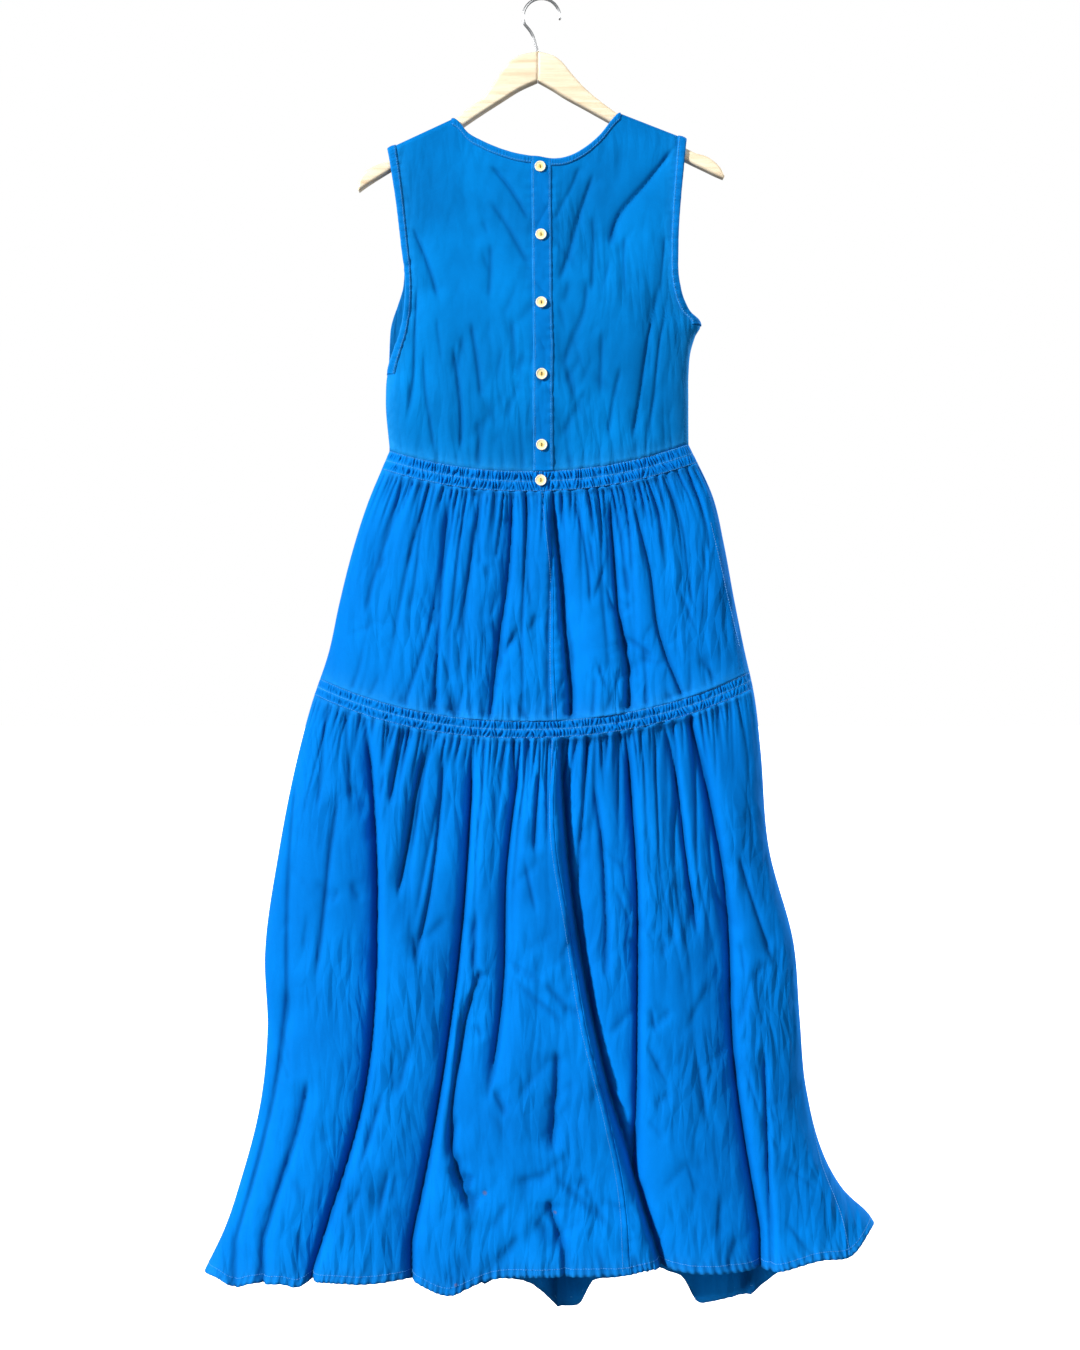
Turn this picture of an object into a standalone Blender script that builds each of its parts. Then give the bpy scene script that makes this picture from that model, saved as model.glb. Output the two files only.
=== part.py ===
"""Tiered sleeveless A-line dress hanging on a flat clothes hanger.

Origin: inside top of the hook. X is the viewer's right, Y runs away from the
buttoned back, Z is up. Lengths in the tables are millimetres; a height is a
drop below the origin.
"""
import bpy
import math
import numpy as np

MM = 0.001

# Cloth and seams
WALL = 1.5
SEAM_GAP = 0.32
TRIM_WALL = 1.0
TRIM_LIFT = WALL / 2 + SEAM_GAP + TRIM_WALL / 2
ROUNDNESS = 2.5
RING_FLATNESS = 0.2

# Skirt rings: side edges of the outline, depth in front of and behind the
# hanger plane, and how far the ring sags below its side seams.
RING_COLUMNS = ("height", "left", "right", "back_depth", "front_depth",
                "back_sag", "front_sag")
RINGS = (
    (538, -182, 176, 30, 32, 31, 24),
    (600, -208, 205, 34, 35, 36, 28),
    (660, -227, 219, 38, 38, 41, 32),
    (720, -242, 230, 42, 42, 46, 36),
    (780, -255, 242, 47, 46, 52, 42),
    (840, -275, 255, 51, 50, 55, 46),
    (900, -291, 262, 55, 53, 54, 46),
    (1020, -315, 272, 60, 57, 46, 44),
    (1140, -331, 302, 65, 60, 32, 40),
    (1230, -328, 309, 68, 62, 20, 36),
    (1320, -337, 317, 70, 62, 8, 32),
    (1410, -360, 341, 71, 62, -2, 32),
    (1470, -380, 375, 72, 62, -7, 34),
    (1518, -403, 398, 72, 62, -10, 38),
)
RIGHT_SIDE_RISE = 4.0
SAG_POWER = 2.2

# Heights of the horizontal seams, taken at the side seams
WAIST_TOP = 538.0
WAIST_BOTTOM = 560.0
LOWER_BAND_TOP = 810.0
LOWER_BAND_BOTTOM = 829.0
HEM = 1518.0

# Places where the hem hangs lower, or higher, than its ring. Side is -1 at the
# back, 1 at the front and 0 all round.
BACK = -1
FRONT = 1
BOTH = 0
HEM_DIP_COLUMNS = ("side", "x", "extra", "spread")
HEM_DIPS = (
    (BACK, -366, 18, 15),
    (BACK, -330, 12, 50),
    (BACK, -289, 9, 13),
    (BACK, -205, 7, 55),
    (BACK, -108, 20, 34),
    (BACK, 134, -7, 28),
    (FRONT, 43, 30, 21),
    (FRONT, 134, -12, 26),
    (FRONT, 196, 38, 17),
    (FRONT, 230, 32, 30),
    (FRONT, 270, 34, 24),
    (BOTH, 335, -15, 45),
    (BOTH, 402, -48, 28),
)

# Bodice outline: armhole and side edges
EDGE_COLUMNS = ("height", "back_left", "front_left", "back_right", "front_right")
BODICE_EDGES = (
    (168, -186.4, -186.4, 173.4, 173.4),
    (204, -180.0, -180.0, 169.8, 169.8),
    (240, -174.2, -174.2, 166.2, 166.2),
    (300, -166.8, -167.2, 162.6, 162.6),
    (342, -162.0, -168.0, 163.8, 163.8),
    (364, -162.4, -175.0, 169.8, 169.8),
    (378, -163.6, -180.0, 178.2, 178.2),
    (388, -165.0, -182.4, 190.0, 190.0),
    (404, -168.4, -183.6, 184.0, 184.0),
    (422, -175.0, -184.0, 178.6, 178.6),
    (449, -184.2, -184.2, 176.0, 176.0),
    (480, -186.4, -186.4, 175.8, 175.8),
    (538, -182.0, -182.0, 176.0, 176.0),
)
LEFT_TIP_HEIGHT = 180.0
RIGHT_TIP_HEIGHT = 168.0
LEFT_UNDERARM = 449.0
RIGHT_UNDERARM = 388.0
ARMHOLE_FLARE = 50.0
ARMHOLE_RUN = 90.0
FLARE_POWER = 0.6
SWERVE_POWER = 5

# Top edge of the back and front, across from shoulder tip to shoulder tip
TOP_COLUMNS = ("x", "back", "front")
TOP_EDGE = (
    (-184.6, 180.0, 180.0),
    (-107.4, 144.4, 144.4),
    (-102.0, 146.6, 148.0),
    (-88.0, 163.0, 177.0),
    (-72.0, 172.6, 208.0),
    (-46.0, 183.8, 238.0),
    (-21.0, 190.6, 254.0),
    (-3.0, 192.4, 258.0),
    (13.0, 194.6, 255.0),
    (34.0, 191.0, 242.0),
    (52.0, 181.0, 223.0),
    (70.0, 165.4, 194.0),
    (88.5, 140.9, 143.9),
    (94.2, 137.4, 137.4),
    (173.4, 168.0, 168.0),
)
NECK_LEFT_X = -107.4
NECK_RIGHT_X = 94.2
NECK_LEFT_SHARE = -0.57
NECK_RIGHT_SHARE = 0.559
SHOULDER_COLUMNS = ("x", "height")
SHOULDER_LINE = (
    (-184.6, 180.0),
    (-107.4, 144.4),
    (-5.0, 70.0),
    (94.2, 137.4),
    (173.4, 168.0),
)
SHOULDER_ARCH = 8.2
BODICE_DEPTH_COLUMNS = ("height", "back", "front")
BODICE_DEPTHS = (
    (130, 12.2, 12.2),
    (165, 12.6, 12.6),
    (200, 14.5, 14.5),
    (250, 19, 20),
    (320, 27, 29),
    (400, 33, 36),
    (480, 34, 37),
    (538, 30, 32),
    (580, 30, 32),
)

# Where the columns and rows of the bodice grid run, as shares of its width
# and height
BACK_LEFT_SHARES = (-1, -0.985, -0.945, -0.87, -0.77, -0.67, -0.57, -0.555, -0.54,
                    -0.46, -0.35, -0.24, -0.14, -0.038, 0.028)
BACK_RIGHT_SHARES = (0.028, 0.094, 0.2, 0.31, 0.42, 0.525, 0.543, 0.559, 0.66,
                     0.77, 0.87, 0.945, 0.985, 1)
FRONT_SHARES = (-1, -0.985, -0.945, -0.87, -0.77, -0.67, -0.57, -0.555, -0.54,
                -0.46, -0.35, -0.24, -0.12, 0, 0.12, 0.23, 0.33, 0.43, 0.525,
                0.543, 0.559, 0.66, 0.77, 0.87, 0.945, 0.985, 1)
BODICE_ROWS = (0, 0.003, 0.011, 0.0235, 0.05, 0.1, 0.18, 0.27, 0.36, 0.45, 0.54,
               0.61, 0.68, 0.747, 0.83, 0.92, 1)
BINDING_ROWS = 4
ARMHOLE_BINDING_COLUMNS = 3
LEFT_BINDING_END = 0.68
RIGHT_BINDING_END = 0.54

# Large folds. Each runs down through four evenly spaced points.
FOLD_COLUMNS = ("top", "bottom", "x_a", "x_b", "x_c", "x_d", "depth", "width",
                "runs_on")
LOWER_BACK_FOLDS = (
    (847, 968, -257, -258, -261, -266, 9, 12, 0),
    (951, 1172, -240, -250, -257, -266, 10, 16, 0),
    (1302, 1476, -275, -290, -310, -329, 14, 16, 1),
    (866, 1511, -208, -198, -211, -273, 40, 20, 1),
    (873, 964, -161, -167, -174, -181, 12, 13, 0),
    (902, 1074, -139, -150, -159, -171, 17, 14, 0),
    (902, 1148, -115, -121, -131, -148, 13, 11, 0),
    (897, 1474, -83, -95, -118, -155, 32, 19, 1),
    (1169, 1445, -80, -99, -106, -80, 16, 15, 0),
    (902, 1313, -26, -43, -47, -64, 27, 18, 0),
    (1249, 1369, 19, 17, 14, 11, 12, 16, 0),
    (1422, 1482, 9, 14, 21, 27, 12, 13, 1),
    (878, 1500, 24, 42, 82, 144, 34, 18, 1),
    (942, 1172, 63, 72, 76, 77, 13, 12, 0),
    (866, 1400, 97, 112, 110, 106, 17, 14, 0),
    (873, 1119, 146, 160, 170, 183, 24, 12, 0),
    (853, 1468, 173, 214, 224, 252, 43, 22, 1),
    (1025, 1148, 232, 245, 259, 272, 12, 16, 0),
)
UPPER_BACK_FOLDS = (
    (581, 746, -165, -180, -198, -211, 10, 12, 0),
    (589, 746, -137, -143, -149, -157, 6, 10, 0),
    (603, 839, -112, -120, -134, -159, 9, 11, 1),
    (606, 820, -110, -117, -121, -125, 14, 11, 1),
    (606, 860, -35, -40, -52, -61, 14, 11, 1),
    (606, 820, 16, 25, 31, 38, 16, 11, 1),
    (606, 733, 40, 50, 56, 58, 7, 10, 0),
    (606, 789, 82, 87, 92, 104, 18, 11, 1),
    (606, 839, 109, 128, 139, 168, 15, 11, 1),
    (589, 733, 155, 168, 173, 180, 8, 10, 0),
)
LOWER_FRONT_FOLDS = (
    (860, 1540, -235, -240, -262, -300, 26, 18, 1),
    (866, 1540, -160, -172, -180, -190, 36, 18, 1),
    (866, 1200, -100, -108, -112, -118, 14, 14, 0),
    (866, 1560, -45, -38, -52, -70, 30, 17, 1),
    (870, 1560, 20, 26, 30, 20, 24, 16, 1),
    (866, 1560, 92, 104, 112, 128, 36, 18, 1),
    (870, 1180, 150, 160, 166, 172, 14, 13, 0),
    (850, 1540, 196, 214, 226, 258, 32, 18, 1),
)
UPPER_FRONT_FOLDS = (
    (580, 830, -150, -160, -172, -190, 10, 12, 1),
    (590, 840, -96, -104, -112, -120, 13, 12, 1),
    (590, 760, -50, -52, -56, -60, 8, 11, 0),
    (590, 850, -6, -8, -10, -14, 13, 12, 1),
    (590, 840, 52, 58, 64, 72, 12, 12, 1),
    (590, 770, 96, 102, 108, 114, 8, 11, 0),
    (580, 830, 140, 152, 162, 176, 12, 12, 1),
)
BODICE_BACK_FOLDS = (
    (205, 270, -58, -40, -26, -15, 3, 8, 0),
    (280, 365, -152, -140, -130, -122, 4, 12, 0),
    (215, 350, 61, 44, 32, 19, 4, 9, 0),
    (180, 305, 158, 126, 92, 80, 6, 12, 0),
    (350, 510, -148, -150, -152, -160, 5, 11, 0),
    (425, 550, -104, -98, -95, -96, 4, 9, 0),
    (395, 485, -83, -78, -74, -71, 4, 10, 0),
    (350, 540, 139, 126, 117, 106, 5, 10, 0),
)
BODICE_FRONT_FOLDS = (
    (280, 420, -140, -128, -112, -92, 6, 14, 0),
    (280, 420, 140, 128, 112, 92, 6, 14, 0),
    (420, 540, -60, -62, -64, -66, 4, 11, 0),
    (420, 540, 62, 64, 66, 68, 4, 11, 0),
)
FOLD_FADE = 0.16
FOLD_LEAD = 0.3
FOLD_LIMIT = 0.78
SHOULDER_FOLD_RUN = 40.0
WAIST_FOLD_START = 350.0
WAIST_FOLD_RUN = 60.0
WAIST_FOLD_SHARE = 0.5

# Small gathers under each band
GATHER_COLUMNS = ("back", "front", "top_swing", "bottom_swing", "top_run")
UPPER_GATHERS = (28, 24, 2.3, 1.0, 0.45)
LOWER_GATHERS = (32, 28, 2.6, 1.2, 0.40)
ROW_EASING = 0.25
BAND_SWING = 0.9
BAND_PUFF = 1.0
BAND_RIPPLE = 0.35
LOWER_BAND_INSET = 2.0
BAND_ROWS = 4
UPPER_ROWS = 6
LOWER_ROWS = 10
UPPER_FRONT_ROWS = 5
LOWER_FRONT_ROWS = 8

# Centre back seam of the skirt, and the share about which the gathers divide
SEAM_AT = 0.03
SEAM_COLUMNS = ("height", "x")
CENTRE_SEAM = (
    (538, -0.6),
    (560, 4),
    (640, 15),
    (760, 16),
    (829, 20),
    (950, 19),
    (1060, 36),
    (1200, 56),
    (1320, 82),
    (1420, 98),
    (1518, 103),
)

# Buttons on the placket
BUTTON_COLUMNS = ("height", "x")
BUTTONS = (
    (205, -1.6),
    (288, -0.6),
    (370, -0.2),
    (455, 0.2),
    (538, 0.2),
    (580, -0.8),
)
BUTTON_RADIUS = 6.5
BUTTON_THICKNESS = 2.2
BUTTON_SIDES = 12
BUTTON_PROFILE_COLUMNS = ("radius_share", "height_share")
BUTTON_PROFILE = (
    (0.90, 0.0),
    (1.0, 0.35),
    (0.97, 0.80),
    (0.84, 1.0),
    (0.70, 0.72),
)
BUTTON_SEAT = 0.15

# Hanger: the arms' top and bottom edges along x
ARM_COLUMNS = ("x", "top", "bottom")
LEFT_ARM = (
    (-220.5, 228.0, 231.0),
    (-219.0, 219.0, 230.5),
    (-216.0, 212.0, 228.0),
    (-206.0, 203.5, 221.5),
    (-187.0, 195.5, 209.5),
    (-107.4, 146.6, 162.0),
    (-71.0, 119.4, 137.0),
    (-58.0, 102.0, 129.0),
    (-46.0, 84.0, 121.0),
    (-37.0, 74.5, 114.5),
    (-27.0, 68.0, 109.0),
    (-4.6, 63.5, 98.6),
)
RIGHT_ARM = (
    (-4.2, 63.5, 98.6),
    (15.0, 68.5, 109.5),
    (25.0, 76.0, 116.0),
    (34.0, 87.0, 122.0),
    (52.0, 107.0, 131.0),
    (70.0, 122.4, 140.0),
    (94.2, 139.6, 154.6),
    (173.4, 179.6, 194.5),
    (184.0, 184.8, 199.6),
    (199.0, 189.6, 206.8),
    (209.0, 196.8, 211.6),
    (217.0, 206.0, 214.0),
    (219.0, 213.0, 215.6),
)
ARM_HALF_THICKNESS = 7.0
ARM_EDGE = 1.5
ARM_CURVE_SHARE = 0.45
ARM_EDGE_SHARE = 0.2
ARM_TIP_HEIGHT = 8.0
ARM_TIP_SHARE = 0.75
ARM_ROUND_STEPS = 3

# Hook of round wire: a stem with a slight lean, then a round crook
WIRE_RADIUS = 1.75
STEM_COLUMNS = ("x", "height")
STEM = (
    (-4.4, 62.6),
    (-5.6, 59.0),
    (-7.6, 52.0),
    (-10.0, 44.0),
    (-13.2, 37.9),
    (-17.3, 32.4),
)
CROOK_CENTRE_HEIGHT = 20.25
CROOK_RADIUS = 22.0
CROOK_START_DEGREES = 205.0
CROOK_END_DEGREES = -10.0
CROOK_STEPS = 18

# Surface colours and roughness
COTTON = (0.0, 0.24, 0.80, 1.0)
COTTON_ROUGH = 0.75
SHELL = (0.91, 0.84, 0.45, 1.0)
SHELL_ROUGH = 0.35
WOOD = (0.95, 0.83, 0.62, 1.0)
WOOD_ROUGH = 0.45
METAL = (0.75, 0.76, 0.78, 1.0)
METAL_ROUGH = 0.2


def named(table, columns, name):
    place = columns.index(name)
    return np.array([row[place] for row in table], dtype=float)


def smooth(xs, ys, x):
    """Cubic curve through the table, held level past its ends."""
    slope = np.gradient(ys, xs)
    x = np.clip(x, xs[0], xs[-1])
    cell = np.clip(np.searchsorted(xs, x, side="right") - 1, 0, len(xs) - 2)
    span = xs[cell + 1] - xs[cell]
    s = (x - xs[cell]) / span
    h00 = 2 * s**3 - 3 * s**2 + 1
    h10 = s**3 - 2 * s**2 + s
    h01 = 3 * s**2 - 2 * s**3
    h11 = s**3 - s**2
    return (h00 * ys[cell] + h10 * span * slope[cell]
            + h01 * ys[cell + 1] + h11 * span * slope[cell + 1])


def ring(name, height):
    return smooth(named(RINGS, RING_COLUMNS, "height"),
                  named(RINGS, RING_COLUMNS, name), height)


def fade(value):
    value = np.clip(value, 0.0, 1.0)
    return value * value * (3 - 2 * value)


def fold_depth(folds, x, drop):
    """Summed inward depth of the folds at points x and drop."""
    total = np.zeros(np.broadcast(x, drop).shape)
    for top, bottom, xa, xb, xc, xd, depth, width, runs_on in folds:
        s = (drop - top) / (bottom - top)
        path = smooth(np.array([0.0, 1 / 3, 2 / 3, 1.0]),
                      np.array([xa, xb, xc, xd], dtype=float), s)
        strength = fade(s / FOLD_FADE + FOLD_LEAD)
        if not runs_on:
            strength = strength * fade((1 - s) / FOLD_FADE)
        strength = np.where(s < -FOLD_LEAD * FOLD_FADE, 0.0, strength)
        total = total + depth * strength * np.exp(-((x - path) / width) ** 2)
    return total


def arc_table(ratio):
    """Even steps round a flattened half ring, as angles."""
    angle = np.linspace(-math.pi / 2, math.pi / 2, 2001)
    across = np.sign(np.sin(angle)) * np.abs(np.sin(angle)) ** (2 / ROUNDNESS)
    depth = ratio * np.cos(angle).clip(0) ** (2 / ROUNDNESS)
    step = np.hypot(np.diff(across), np.diff(depth))
    length = np.concatenate([[0.0], np.cumsum(step)])
    return length / length[-1] * 2 - 1, angle


ARC_SHARE, ARC_ANGLE = arc_table(RING_FLATNESS)


def uneven(share):
    """Shifts even shares a little so that no two gathers are alike."""
    return (share + 0.006 * np.sin(9 * share + 1) + 0.004 * np.sin(23 * share)
            - 0.006 * math.sin(1) * (1 - share**2))


def skirt_point(side, share, height, folds, swing, waves, inset):
    """Point of a skirt wall. Side is -1 at the back and 1 at the front."""
    angle = np.interp(share, ARC_SHARE, ARC_ANGLE)
    across = np.sign(np.sin(angle)) * np.abs(np.sin(angle)) ** (2 / ROUNDNESS)
    closing = np.cos(angle).clip(0) ** (2 / ROUNDNESS)
    left = ring("left", height)
    right = ring("right", height)
    x = (left + right) / 2 + (right - left) / 2 * across
    hang = "back" if side < 0 else "front"
    sag = ring(hang + "_sag", height)
    drop = height - RIGHT_SIDE_RISE * across
    drop = drop + sag * (1 - np.abs(across) ** SAG_POWER)
    low = fade((height - LOWER_BAND_BOTTOM) / (HEM - LOWER_BAND_BOTTOM))
    for where, place, extra, spread in HEM_DIPS:
        if where in (side, BOTH):
            share_of_side = 1.0 if where == BOTH else closing
            drop = drop + low * extra * np.exp(-((x - place) / spread) ** 2) * share_of_side
    depth = ring(hang + "_depth", height) - inset
    trough = fold_depth(folds, x, drop)
    limit = FOLD_LIMIT * depth
    trough = limit * np.tanh(trough / limit)
    wave = swing * np.cos(math.pi * waves * uneven(share))
    y = side * np.maximum(closing * (depth - trough + wave), SEAM_GAP / 2)
    return np.stack([x, y, -drop], axis=-1)


def shares_for(waves, start, end):
    """Column shares that fall on each crest and hollow of the gathers."""
    fine = np.linspace(-1, 1, 4001)
    spot = np.arange(-waves, waves + 1) / waves
    crest = np.interp(spot, uneven(fine), fine)
    crest[0], crest[-1] = -1.0, 1.0
    inside = crest[(crest > start + 0.3 / waves) & (crest < end - 0.3 / waves)]
    return np.concatenate([[start], inside, [end]])


def seam_share(height):
    """Share across the back at which the centre seam lies."""
    x = smooth(named(CENTRE_SEAM, SEAM_COLUMNS, "height"),
               named(CENTRE_SEAM, SEAM_COLUMNS, "x"), height)
    left = ring("left", height)
    right = ring("right", height)
    across = (x - (left + right) / 2) / ((right - left) / 2)
    fine = np.sign(np.sin(ARC_ANGLE)) * np.abs(np.sin(ARC_ANGLE)) ** (2 / ROUNDNESS)
    return np.interp(across, fine, ARC_SHARE)


def grid_normals(points, side):
    """Outward directions at a grid's points."""
    across = np.gradient(points, axis=1)
    down = np.gradient(points, axis=0)
    normal = np.cross(across, down)
    normal = normal * -1.0
    length = np.linalg.norm(normal, axis=-1, keepdims=True)
    normal = normal / np.maximum(length, 1e-9)
    facing = np.sign((normal[..., 1] * side).sum())
    return normal * facing


def square_off(normal, rows, columns, axis):
    """Turns border directions so that the wall ends square to a seam."""
    picked = normal[rows, columns]
    picked[..., axis] = 0.0
    length = np.linalg.norm(picked, axis=-1, keepdims=True)
    normal[rows, columns] = picked / np.maximum(length, 1e-9)


ALL = slice(None)
FIRST = slice(0, 1)
LAST = slice(-1, None)


def material(name, colour, rough, metal=0.0):
    made = bpy.data.materials.new(name)
    made.use_nodes = True
    shader = made.node_tree.nodes["Principled BSDF"]
    shader.inputs["Base Color"].default_value = colour
    shader.inputs["Roughness"].default_value = rough
    shader.inputs["Metallic"].default_value = metal
    made.diffuse_color = colour
    return made


def add_object(name, points, faces, colour, rough, metal=0.0):
    mesh = bpy.data.meshes.new(name)
    mesh.from_pydata([tuple(p * MM) for p in points], [], faces)
    mesh.update()
    made = bpy.data.objects.new(name, mesh)
    COLLECTION.objects.link(made)
    mesh.materials.append(material(name + "_surface", colour, rough, metal))
    return made


def wall(name, middle, normal, thick, colour, outer_raise=None, plain_inside=False):
    """Closed wall round a grid of middle points."""
    outer = middle + normal * thick / 2
    inner = middle - normal * thick / 2
    if outer_raise is not None:
        outer = outer + normal * outer_raise[..., None]
    if plain_inside:
        inner = inner[[0, -1]]
    rows, columns = outer.shape[:2]
    inner_rows = inner.shape[0]
    start = rows * columns

    def out(r, c):
        return r * columns + c

    def back(r, c):
        return start + r * columns + c

    faces = []
    for r in range(rows - 1):
        for c in range(columns - 1):
            faces.append((out(r, c), out(r + 1, c), out(r + 1, c + 1), out(r, c + 1)))
    for r in range(inner_rows - 1):
        for c in range(columns - 1):
            faces.append((back(r, c), back(r, c + 1), back(r + 1, c + 1), back(r + 1, c)))
    low = inner_rows - 1
    for c in range(columns - 1):
        faces.append((out(0, c), out(0, c + 1), back(0, c + 1), back(0, c)))
        faces.append((out(rows - 1, c + 1), out(rows - 1, c), back(low, c), back(low, c + 1)))
    if plain_inside:
        faces.append(tuple([out(r, 0) for r in range(rows - 1, -1, -1)]
                           + [back(0, 0), back(1, 0)]))
        faces.append(tuple([out(r, columns - 1) for r in range(rows)]
                           + [back(1, columns - 1), back(0, columns - 1)]))
    else:
        for r in range(rows - 1):
            faces.append((out(r + 1, 0), out(r, 0), back(r, 0), back(r + 1, 0)))
            faces.append((out(r, columns - 1), out(r + 1, columns - 1),
                          back(r + 1, columns - 1), back(r, columns - 1)))
    points = np.concatenate([outer.reshape(-1, 3), inner.reshape(-1, 3)])
    first = np.cross(points[faces[0][1]] - points[faces[0][0]],
                     points[faces[0][3]] - points[faces[0][0]])
    if np.dot(first, normal[0, 0] + normal[1, 1]) < 0:
        faces = [tuple(reversed(face)) for face in faces]
    return add_object(name, points, faces, colour, COTTON_ROUGH)


def skirt_panel(name, side, span, heights, folds, gathers, part, rows):
    """One gathered panel between two seams."""
    waves = gathers[GATHER_COLUMNS.index("back" if side < 0 else "front")]
    top_swing, bottom_swing, top_run = gathers[2:]
    top, bottom = heights
    down = np.linspace(0, 1, rows + 1)[:, None]
    down = down * (1 - ROW_EASING * (1 - down))
    height = top + (bottom - top) * down
    starts, ends = panel_ends(part, height)
    grid = column_shares(waves, span, part, starts, ends)
    swing = bottom_swing + (top_swing - bottom_swing) * np.exp(-down / top_run)
    points = skirt_point(side, grid, height, folds, swing, waves, 0.0)
    points = close_seams(points, part)
    normal = grid_normals(points, side)
    end_square(normal, part)
    if heights[1] == HEM:
        normal[-1] = normal[-2]
        end_square(normal, part)
    return wall(name, points, normal, WALL, COTTON)


def panel_ends(part, height):
    """Start and end shares of a panel's rows."""
    seam = seam_share(height)
    low = -np.ones_like(height)
    high = np.ones_like(height)
    if part == "left":
        return low, seam
    if part == "right":
        return seam, high
    return low, high


def column_shares(waves, span, part, starts, ends):
    base = shares_for(waves, span[0], span[1])
    spread = (base - base[0]) / (base[-1] - base[0])
    return starts + (ends - starts) * spread[None, :]


def close_seams(points, part):
    """Leaves half the seam gap at the centre back seam."""
    if part == "left":
        points[:, -1, 0] -= SEAM_GAP / 2
    if part == "right":
        points[:, 0, 0] += SEAM_GAP / 2
    return points


def end_square(normal, part):
    square_off(normal, FIRST, ALL, 2)
    square_off(normal, LAST, ALL, 2)
    if part in ("left", "both"):
        square_off(normal, ALL, FIRST, 1)
    if part in ("right", "both"):
        square_off(normal, ALL, LAST, 1)
    if part == "left":
        square_off(normal, ALL, LAST, 0)
    if part == "right":
        square_off(normal, ALL, FIRST, 0)


def band_panel(name, side, span, heights, waves, part, inset):
    """Shirred band: puckers raised between three rows of stitches."""
    top, bottom = heights
    down = np.linspace(0, 1, BAND_ROWS + 1)[:, None]
    height = top + (bottom - top) * down
    starts, ends = panel_ends(part, height)
    grid = column_shares(waves, span, part, starts, ends)
    points = skirt_point(side, grid, height, (), BAND_SWING, waves, inset)
    points = close_seams(points, part)
    normal = grid_normals(points, side)
    end_square(normal, part)
    puff = BAND_PUFF * np.sin(2 * math.pi * down) ** 2
    ripple = 1 - BAND_RIPPLE + BAND_RIPPLE * np.cos(math.pi * waves * uneven(grid))
    raised = puff * ripple
    raised[:, 0] = 0
    raised[:, -1] = 0
    return wall(name, points, normal, WALL, COTTON, raised, True)


def bodice_grid(side, shares, rows):
    """Bodice wall between the armholes, from the top edge to the waist."""
    w = np.array(shares, dtype=float)[None, :]
    t = np.array(rows, dtype=float)[:, None]
    edge_height = named(BODICE_EDGES, EDGE_COLUMNS, "height")
    tips = {"left": LEFT_TIP_HEIGHT, "right": RIGHT_TIP_HEIGHT}
    ends = {"left": WAIST_TOP + RIGHT_SIDE_RISE, "right": WAIST_TOP - RIGHT_SIDE_RISE}
    hang = "back" if side < 0 else "front"
    edge_drop = {}
    edge_x = {}
    for hand in ("left", "right"):
        edge_drop[hand] = tips[hand] + (ends[hand] - tips[hand]) * t
        edge = named(BODICE_EDGES, EDGE_COLUMNS, hang + "_" + hand)
        edge_x[hand] = smooth(edge_height, edge, edge_drop[hand])
    top_x = edge_x["left"][0] + (edge_x["right"][0] - edge_x["left"][0]) * (w + 1) / 2
    top_drop = top_edge(hang, top_x)
    left, right = ring("left", WAIST_TOP), ring("right", WAIST_TOP)
    low_x = (left + right) / 2 + (right - left) / 2 * w
    low_drop = WAIST_TOP - RIGHT_SIDE_RISE * w
    low_drop = low_drop + ring(hang + "_sag", WAIST_TOP) * (1 - np.abs(w) ** SAG_POWER)
    low_drop = low_drop - SEAM_GAP
    u = (w + 1) / 2
    x = patch(top_x, low_x, edge_x["left"], edge_x["right"], u, t)
    drop = patch(top_drop, low_drop, edge_drop["left"], edge_drop["right"], u, t)
    open_left = fade((LEFT_UNDERARM - edge_drop["left"]) / ARMHOLE_RUN)
    open_right = fade((RIGHT_UNDERARM - edge_drop["right"]) / ARMHOLE_RUN)
    flare_left = ARMHOLE_FLARE * open_left**FLARE_POWER
    flare_right = ARMHOLE_FLARE * open_right**FLARE_POWER
    half = (edge_x["right"] - edge_x["left"]) / 2
    reach = np.where(w < 0, half / (half + flare_left), half / (half + flare_right))
    closing = (1 - (np.abs(w) * reach) ** ROUNDNESS).clip(0) ** (1 / ROUNDNESS)
    line = np.interp(x, named(SHOULDER_LINE, SHOULDER_COLUMNS, "x"),
                     named(SHOULDER_LINE, SHOULDER_COLUMNS, "height"))
    rise = np.clip((drop - line) / SHOULDER_ARCH, 0, 1)
    arch = np.sqrt(1 - (1 - rise) ** 2)
    depth = smooth(named(BODICE_DEPTHS, BODICE_DEPTH_COLUMNS, "height"),
                   named(BODICE_DEPTHS, BODICE_DEPTH_COLUMNS, hang), drop)
    folds = BODICE_BACK_FOLDS if side < 0 else BODICE_FRONT_FOLDS
    trough = fold_depth(folds, x, drop)
    near_waist = fade((drop - line - WAIST_FOLD_START) / WAIST_FOLD_RUN)
    trough = trough * fade((drop - line) / SHOULDER_FOLD_RUN) * (1 - near_waist * WAIST_FOLD_SHARE)
    y = side * np.maximum(arch * closing * (depth - trough), SEAM_GAP / 2)
    return np.stack([x, y, -drop], axis=-1)


def top_edge(hang, x):
    """Drop of the top edge, with a corner at each neck point."""
    xs = named(TOP_EDGE, TOP_COLUMNS, "x")
    drops = named(TOP_EDGE, TOP_COLUMNS, hang)
    neck = (xs >= NECK_LEFT_X) & (xs <= NECK_RIGHT_X)
    inside = smooth(xs[neck], drops[neck], x)
    outside = np.interp(x, xs, drops)
    return np.where((x > NECK_LEFT_X) & (x < NECK_RIGHT_X), inside, outside)


def patch(top, low, left, right, u, t):
    """Fills in between four edge curves. The side curves' swerves die away inward."""
    left_swerve = left - (left[:1] + (left[-1:] - left[:1]) * t)
    right_swerve = right - (right[:1] + (right[-1:] - right[:1]) * t)
    straight = (1 - t) * top + t * low
    return straight + (1 - u) ** SWERVE_POWER * left_swerve + u**SWERVE_POWER * right_swerve


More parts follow.
